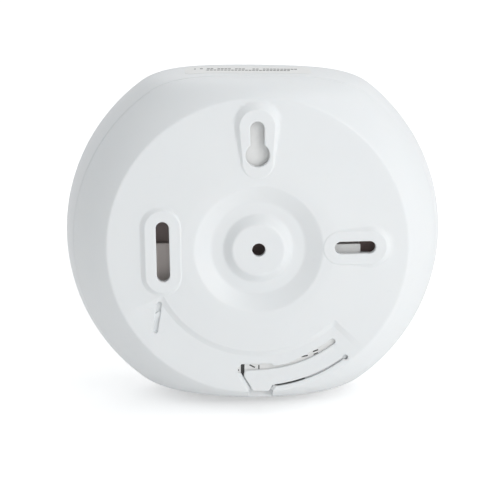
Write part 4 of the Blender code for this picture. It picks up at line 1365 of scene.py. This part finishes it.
def build_spring():
    """A coil of round wire with closed ends."""
    coil_radius, wire_radius, turns = 4.6, 0.27, 4.6
    low, high = 41.62, 44.62
    steps, sides = 220, 10
    t = np.linspace(0, 1, steps + 1)
    # the wire stays level at either end
    depth = low + (high - low) * np.clip((t - 0.14) / 0.72, 0, 1)
    angle = 2 * math.pi * turns * t
    middle = np.c_[coil_radius * np.cos(angle), coil_radius * np.sin(angle), depth]
    along = unit_rows(np.gradient(middle, axis=0))
    radial = np.c_[np.cos(angle), np.sin(angle), np.zeros(steps + 1)]
    aside = np.cross(along, radial)
    verts, faces = [], []
    for i in range(steps + 1):
        for k in range(sides):
            around = 2 * math.pi * k / sides
            spoke = math.cos(around) * radial[i] + math.sin(around) * aside[i]
            verts.append(middle[i] + wire_radius * spoke)
    for i in range(steps):
        row, following = i * sides, (i + 1) * sides
        for k in range(sides):
            m = (k + 1) % sides
            faces.append((row + m, following + m, following + k, row + k))
    faces.append(tuple(range(sides - 1, -1, -1)))
    faces.append(tuple(steps * sides + k for k in range(sides)))
    return closed_piece("coil_spring", verts, faces, STEEL, limit=60.0)


button = build_button()
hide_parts("test_button")
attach(button, "button")
spring = build_spring()
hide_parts("button_spring")
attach(spring, "head")
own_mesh(spring)

# ------------------------------------------------------------------ the labels and the raised back
HOUSING_DEPTH = 6.5


def build_date_label():
    """A film on the upper flat, with round corners, lying on the moulding."""
    left, right, low, high = -17.5, 20.3, 18.2, 27.6  # x, then depth
    corner_radius, gap, thickness = 2.2, 0.01, 0.06
    corners = [(left, low), (right, low), (right, high), (left, high)]
    outline = densify(rounded_loop(corners, corner_radius, 0.3), 0.8, closed=True)
    flat, triangles, _ = sheet([outline], [(hex_grid(left, right, low, high, 1.0), 0.4)])
    # follow the flat, and bend down where it turns into the round wall
    x, depth = flat[:, 0], flat[:, 1]
    height = flat_height(depth)
    for _ in range(3):
        radius = cut_radius(body_radius(depth), depth, np.arctan2(height, x))
        height = np.sqrt(np.maximum(radius * radius - x * x, 0))
    upper = np.c_[x, height + thickness + gap, depth]
    lower = np.c_[x, height + gap, depth]
    faces = slab_faces(triangles, len(flat))
    return closed_piece("date_film", np.vstack([upper, lower]), faces, DATE_PRINT)


def label_height(points):
    """Depth of the large film: it follows the back of the base, which steps in round the boss."""
    step = smoothstep((np.hypot(points[:, 0], points[:, 1]) - 16.0) / 6.0)
    from_slot = capsule_distance(points, (-32.7, 0), (-24.3, 0), 0, 0)
    dip = smoothstep((6.0 - from_slot) / 3.0)
    return 4.6 - 1.85 * step + 1.1 * dip


def field_loops(slack):
    """Outline of the raised back that carries the film, and its openings, as closed loops."""
    # (radius, start, end) of each arc
    arcs = (
        (37.0, -22.0, 80.0), (39.2, 80.0, 100.0), (37.0, 100.0, 224.0), (38.3, 224.0, 276.5),
        (39.5, 276.5, 284.0), (37.0, 284.0, 304.0), (31.5, 304.0, 338.0),
    )
    outline = np.vstack([arc(radius - slack, start, end, 0.8) for radius, start, end in arcs])
    right = rounded_loop([(20.5, -10.6), (35.4, -10.6), (35.4, 12.3), (20.5, 12.3)], 1.5, 0.4)
    left = rounded_loop(
        [(-37.0, -2.8), (-30.4, -2.8), (-30.4, 0.28), (-22.0, 0.28), (-22.0, 2.6), (-37.0, 2.6)],
        0.3, 0.3)
    loops = (outline, right, left, circle(3.6, 0.5))
    return [densify(loop, 0.8, closed=True) for loop in loops]


def build_field(name, lift, thickness, material, slack):
    """A slice of the raised back, `lift` deeper than the film's face; without a thickness it
    reaches the housing's plane."""
    clouds = [(circle(radius, 1.2), 0.4) for radius in np.arange(15.3, 21.6, 0.7)]
    clouds.append((hex_grid(-40, 40, -40, 40, 1.8), 0.7))
    flat, triangles, _ = sheet(field_loops(slack), clouds)
    top = label_height(flat) + lift
    low = top + thickness if thickness else np.full(len(flat), HOUSING_DEPTH - 0.015)
    verts = np.vstack([np.c_[flat, top], np.c_[flat, low]])
    return closed_piece(name, verts, slab_faces(triangles, len(flat)), material)


def build_wells(name, outlines, top, back, material):
    """Plates with rounded rims, lying at the bottom of the openings in the raised back; their colours
    are painted shade.
    """
    plates = []
    for outline in outlines:
        outline = densify(outline, 0.5, closed=True)
        clouds = [(offset_rings(outline, [off, -off], 0.5), 0.06) for off in (0.08, 0.2, 0.35)]
        clouds.append((hex_grid(-40, 40, -15, 15, 1.2), 0.5))
        flat, triangles, _ = sheet([outline], clouds)
        face = top + fillet(segment_distance(flat, outline), 0.3) * 0.5
        verts = np.vstack([np.c_[flat, face], np.c_[flat, np.full(len(flat), back)]])
        plates.append((verts, slab_faces(triangles, len(flat))))
    return closed_piece(name, *joined(plates), material)


def build_rests():
    """Two low ribs that lie under the latch's outer slot and beside its tip."""
    bow = rounded_loop(sector_outline(40.9, 43.5, -129.6, -108.5, 12), 0.3, 0.3)
    beside_tip = rounded_loop(
        [(3.0, -39.75), (3.0, -41.9), (4.1, -42.2), (4.1, -43.0), (7.4, -42.8), (7.4, -39.2)],
        0.25, 0.25)
    ribs = [round_prism(outline, 2.85, 6.48, 0.15) for outline in (bow, beside_tip)]
    return closed_piece("latch_rests", *joined(ribs), BASE_WHITE)


date_film = build_date_label()
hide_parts("date_label")
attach(date_film, "head")
rating = build_field("rating_film", lift=0.0, thickness=0.12, material=RATING_PRINT, slack=0.0)
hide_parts("rating_label")
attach(rating, "head")
field = build_field("label_field", lift=0.14, thickness=0.0, material=HOUSING_WHITE, slack=0.05)
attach(field, "head")
rests = build_rests()
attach(rests, "head")

WELL_BACK = 6.47
left_well = rounded_loop(
    [(-36.85, -2.65), (-30.55, -2.65), (-30.55, 0.43), (-22.15, 0.43), (-22.15, 2.45),
     (-36.85, 2.45)],
    0.3, 0.3)
right_well = rounded_loop(
    [(20.65, -10.45), (35.25, -10.45), (35.25, 1.45), (20.65, 1.45)], 0.8, 0.4)
plug_outline = rounded_loop([(21.6, 0.9), (34.9, 0.9), (34.9, 11.4), (21.6, 11.4)], 0.3, 0.3)
# dark brown plates of painted shade in the centre hole and the left slot
painted_shade_wells = build_wells(
    "painted_shade_wells", [circle(3.45, 0.4), left_well], top=6.25, back=WELL_BACK, material=PAINTED_SHADE_BROWN)
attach(painted_shade_wells, "head")
# a warm grey plate whose tint is painted shade on the floor of the right slot
painted_shade_grey_well = build_wells("painted_shade_grey_well", [right_well], top=5.7, back=WELL_BACK, material=PAINTED_SHADE_GREY)
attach(painted_shade_grey_well, "head")
# a deeper plate in the window behind the right slot, its brown painted shade
plug = build_wells("window_plug", [plug_outline], top=8.0, back=8.35, material=PAINTED_SHADE_PLUG)
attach(plug, "head")

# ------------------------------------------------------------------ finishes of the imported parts
FINISHES = (
    (HOUSING_WHITE, "rear_housing"),
    (RATING_PRINT, "rating_label"),
    (DATE_PRINT, "date_label"),
    (COVER_WHITE, "front_cover"),
    (BUTTON_WHITE, "test_button"),
    (BASE_WHITE, "mounting_base latch_arm"),
    (BLACK, "power_slider tact_switch switch_plunger chamber_base chamber_cover sounder_housing"),
    (CHIP, "alarm_chip photodiode horn_transformer microcontroller"),
    (CELL, "lithium_cell"),
    (CAN, "storage_capacitor"),
    (CERAMIC, "sounder_ceramic"),
    (STEEL, "button_spring board_screw_1 board_screw_2 board_screw_3"),
    (STEEL, "housing_screw_1 housing_screw_2 housing_screw_3"),
    (STEEL, "sounder_spring_centre sounder_spring_feedback sounder_spring_rim"),
    (STEEL, "cell_tab_negative cell_tab_positive"),
    (MESH_STEEL, "insect_mesh"),
    (BRASS, "slider_wiper sounder_disc service_header"),
    (COPPER, "transformer_winding"),
    (CLEAR, "light_pipe infrared_emitter"),
    (LAMP, "indicator_led"),
    (BOARD, "circuit_board"),
)
finish_of = {part: material for material, parts in FINISHES for part in parts.split()}
for name, node in frame["nodes"].items():
    node.data.materials.clear()
    node.data.materials.append(finish_of[name])


# ------------------------------------------------------------------ studio, in metres
def studio_paper():
    """White paper that glows, more so away from the alarm."""
    material, tree, shader, place = new_material("studio_paper")
    fibre = spread(tree, noise(tree, place, 300.0), 0.0, 1.0)
    split = add_node(tree, "SeparateXYZ", {0: place})
    level = add_node(tree, "CombineXYZ", {0: split.outputs[0], 1: split.outputs[1]})
    length = add_node(tree, "VectorMath", {0: level.outputs[0]}, operation="LENGTH")
    away = length.outputs["Value"]
    # what the camera sees of the glow keeps the paper white, and less of it reaches the alarm
    seen = spread(tree, away, 0.34, 0.48, from_min=0.03, from_max=0.6)
    cast = spread(tree, away, 0.0875, 0.182, from_min=0.15, from_max=0.9)
    to_camera = tree.nodes.new("ShaderNodeLightPath").outputs["Is Camera Ray"]
    feed(tree, shader, {
        "Base Color": mix_colour(tree, fibre, (0.93, 0.93, 0.93), (0.95, 0.95, 0.95)),
        "Roughness": 0.9,
        "Specular IOR Level": 0.1,
        "Emission Color": (1, 1, 1, 1),
        "Emission Strength": add_node(tree, "Mix", {0: to_camera, 2: cast, 3: seen}).outputs[0],
    })
    return material


def studio_floor():
    """A sheet, level under the alarm, that sweeps up far off on its room side."""
    floor_z, half_width, half_length, sweep_start = -0.0511, 4.0, 3.0, -1.4
    rows, columns = 40, 24
    verts, faces = [], []
    for i in range(rows + 1):
        y = half_length - 2 * half_length * (i / rows)
        rise = max(0.0, sweep_start - y)
        for j in range(columns + 1):
            x = -half_width + 2 * half_width * j / columns
            verts.append((x, y, floor_z + 0.9 * rise * rise))
    for i in range(rows):
        for j in range(columns):
            corner = i * (columns + 1) + j
            below = corner + columns + 1
            faces.append((corner, below, below + 1, corner + 1))
    mesh = bpy.data.meshes.new("studio_floor")
    mesh.from_pydata(verts, [], faces)
    mesh.shade_smooth()
    obj = bpy.data.objects.new("studio_floor", mesh)
    bpy.context.scene.collection.objects.link(obj)
    mesh.materials.append(studio_paper())
    return obj


def studio_light(name, turn, height, power):
    """A soft box aimed at the origin, turned from straight behind the camera towards its right,
    and raised, both in degrees."""
    distance, size = 1.3, 0.7
    turn, height = math.radians(turn), math.radians(height)
    direction = Vector((
        -math.sin(turn) * math.cos(height), math.cos(turn) * math.cos(height), math.sin(height)))
    data = bpy.data.lights.new(name, "AREA")
    data.shape = "RECTANGLE"
    data.size = data.size_y = size
    data.energy = power
    obj = bpy.data.objects.new(name, data)
    obj.location = direction * distance
    obj.rotation_mode = "QUATERNION"
    obj.rotation_quaternion = (-direction).to_track_quat("-Z", "Y")
    bpy.context.scene.collection.objects.link(obj)


def add_camera():
    """A long lens on the wall side, aimed at the middle of the wall plane."""
    turn, height, roll = math.radians(3.4), math.radians(13.5), math.radians(-0.63)
    distance = 0.430
    target = Vector((0, WALL_Y * MM, 0))
    direction = Vector((
        math.sin(turn) * math.cos(height), math.cos(turn) * math.cos(height), math.sin(height)))
    data = bpy.data.cameras.new("camera")
    camera = bpy.data.objects.new("camera", data)
    scene.collection.objects.link(camera)
    camera.location = target + direction * distance
    camera.rotation_mode = "QUATERNION"
    aim = (-direction).to_track_quat("-Z", "Y")
    camera.rotation_quaternion = aim @ Matrix.Rotation(roll, 3, "Z").to_quaternion()
    data.sensor_width = 36.0
    data.lens = 105.768
    data.shift_x, data.shift_y = -0.0176, 0.0004
    data.clip_start, data.clip_end = 0.01, 20.0
    scene.camera = camera


floor = studio_floor()

scene = bpy.context.scene
world = scene.world or bpy.data.worlds.new("studio")
scene.world = world
world.use_nodes = True
background = world.node_tree.nodes["Background"]
background.inputs["Color"].default_value = (0.965, 0.985, 1.0, 1.0)
background.inputs["Strength"].default_value = 0.545

# name, turn and height in degrees, power in watts
LIGHTS = (
    ("key_low", 40, 15, 5.90),
    ("key_high", 45, 45, 0.65),
    ("side_right", 80, 15, 0.53),
    ("top_right", 90, 75, 2.11),
    ("back_right", 135, 45, 0.58),
    ("back", 180, 45, 1.29),
    ("low_left", -120, 15, 0.43),
)
for light in LIGHTS:
    studio_light(*light)
scene.view_settings.view_transform = "Standard"
scene.view_settings.look = "None"
scene.view_settings.exposure = 0.0
add_camera()
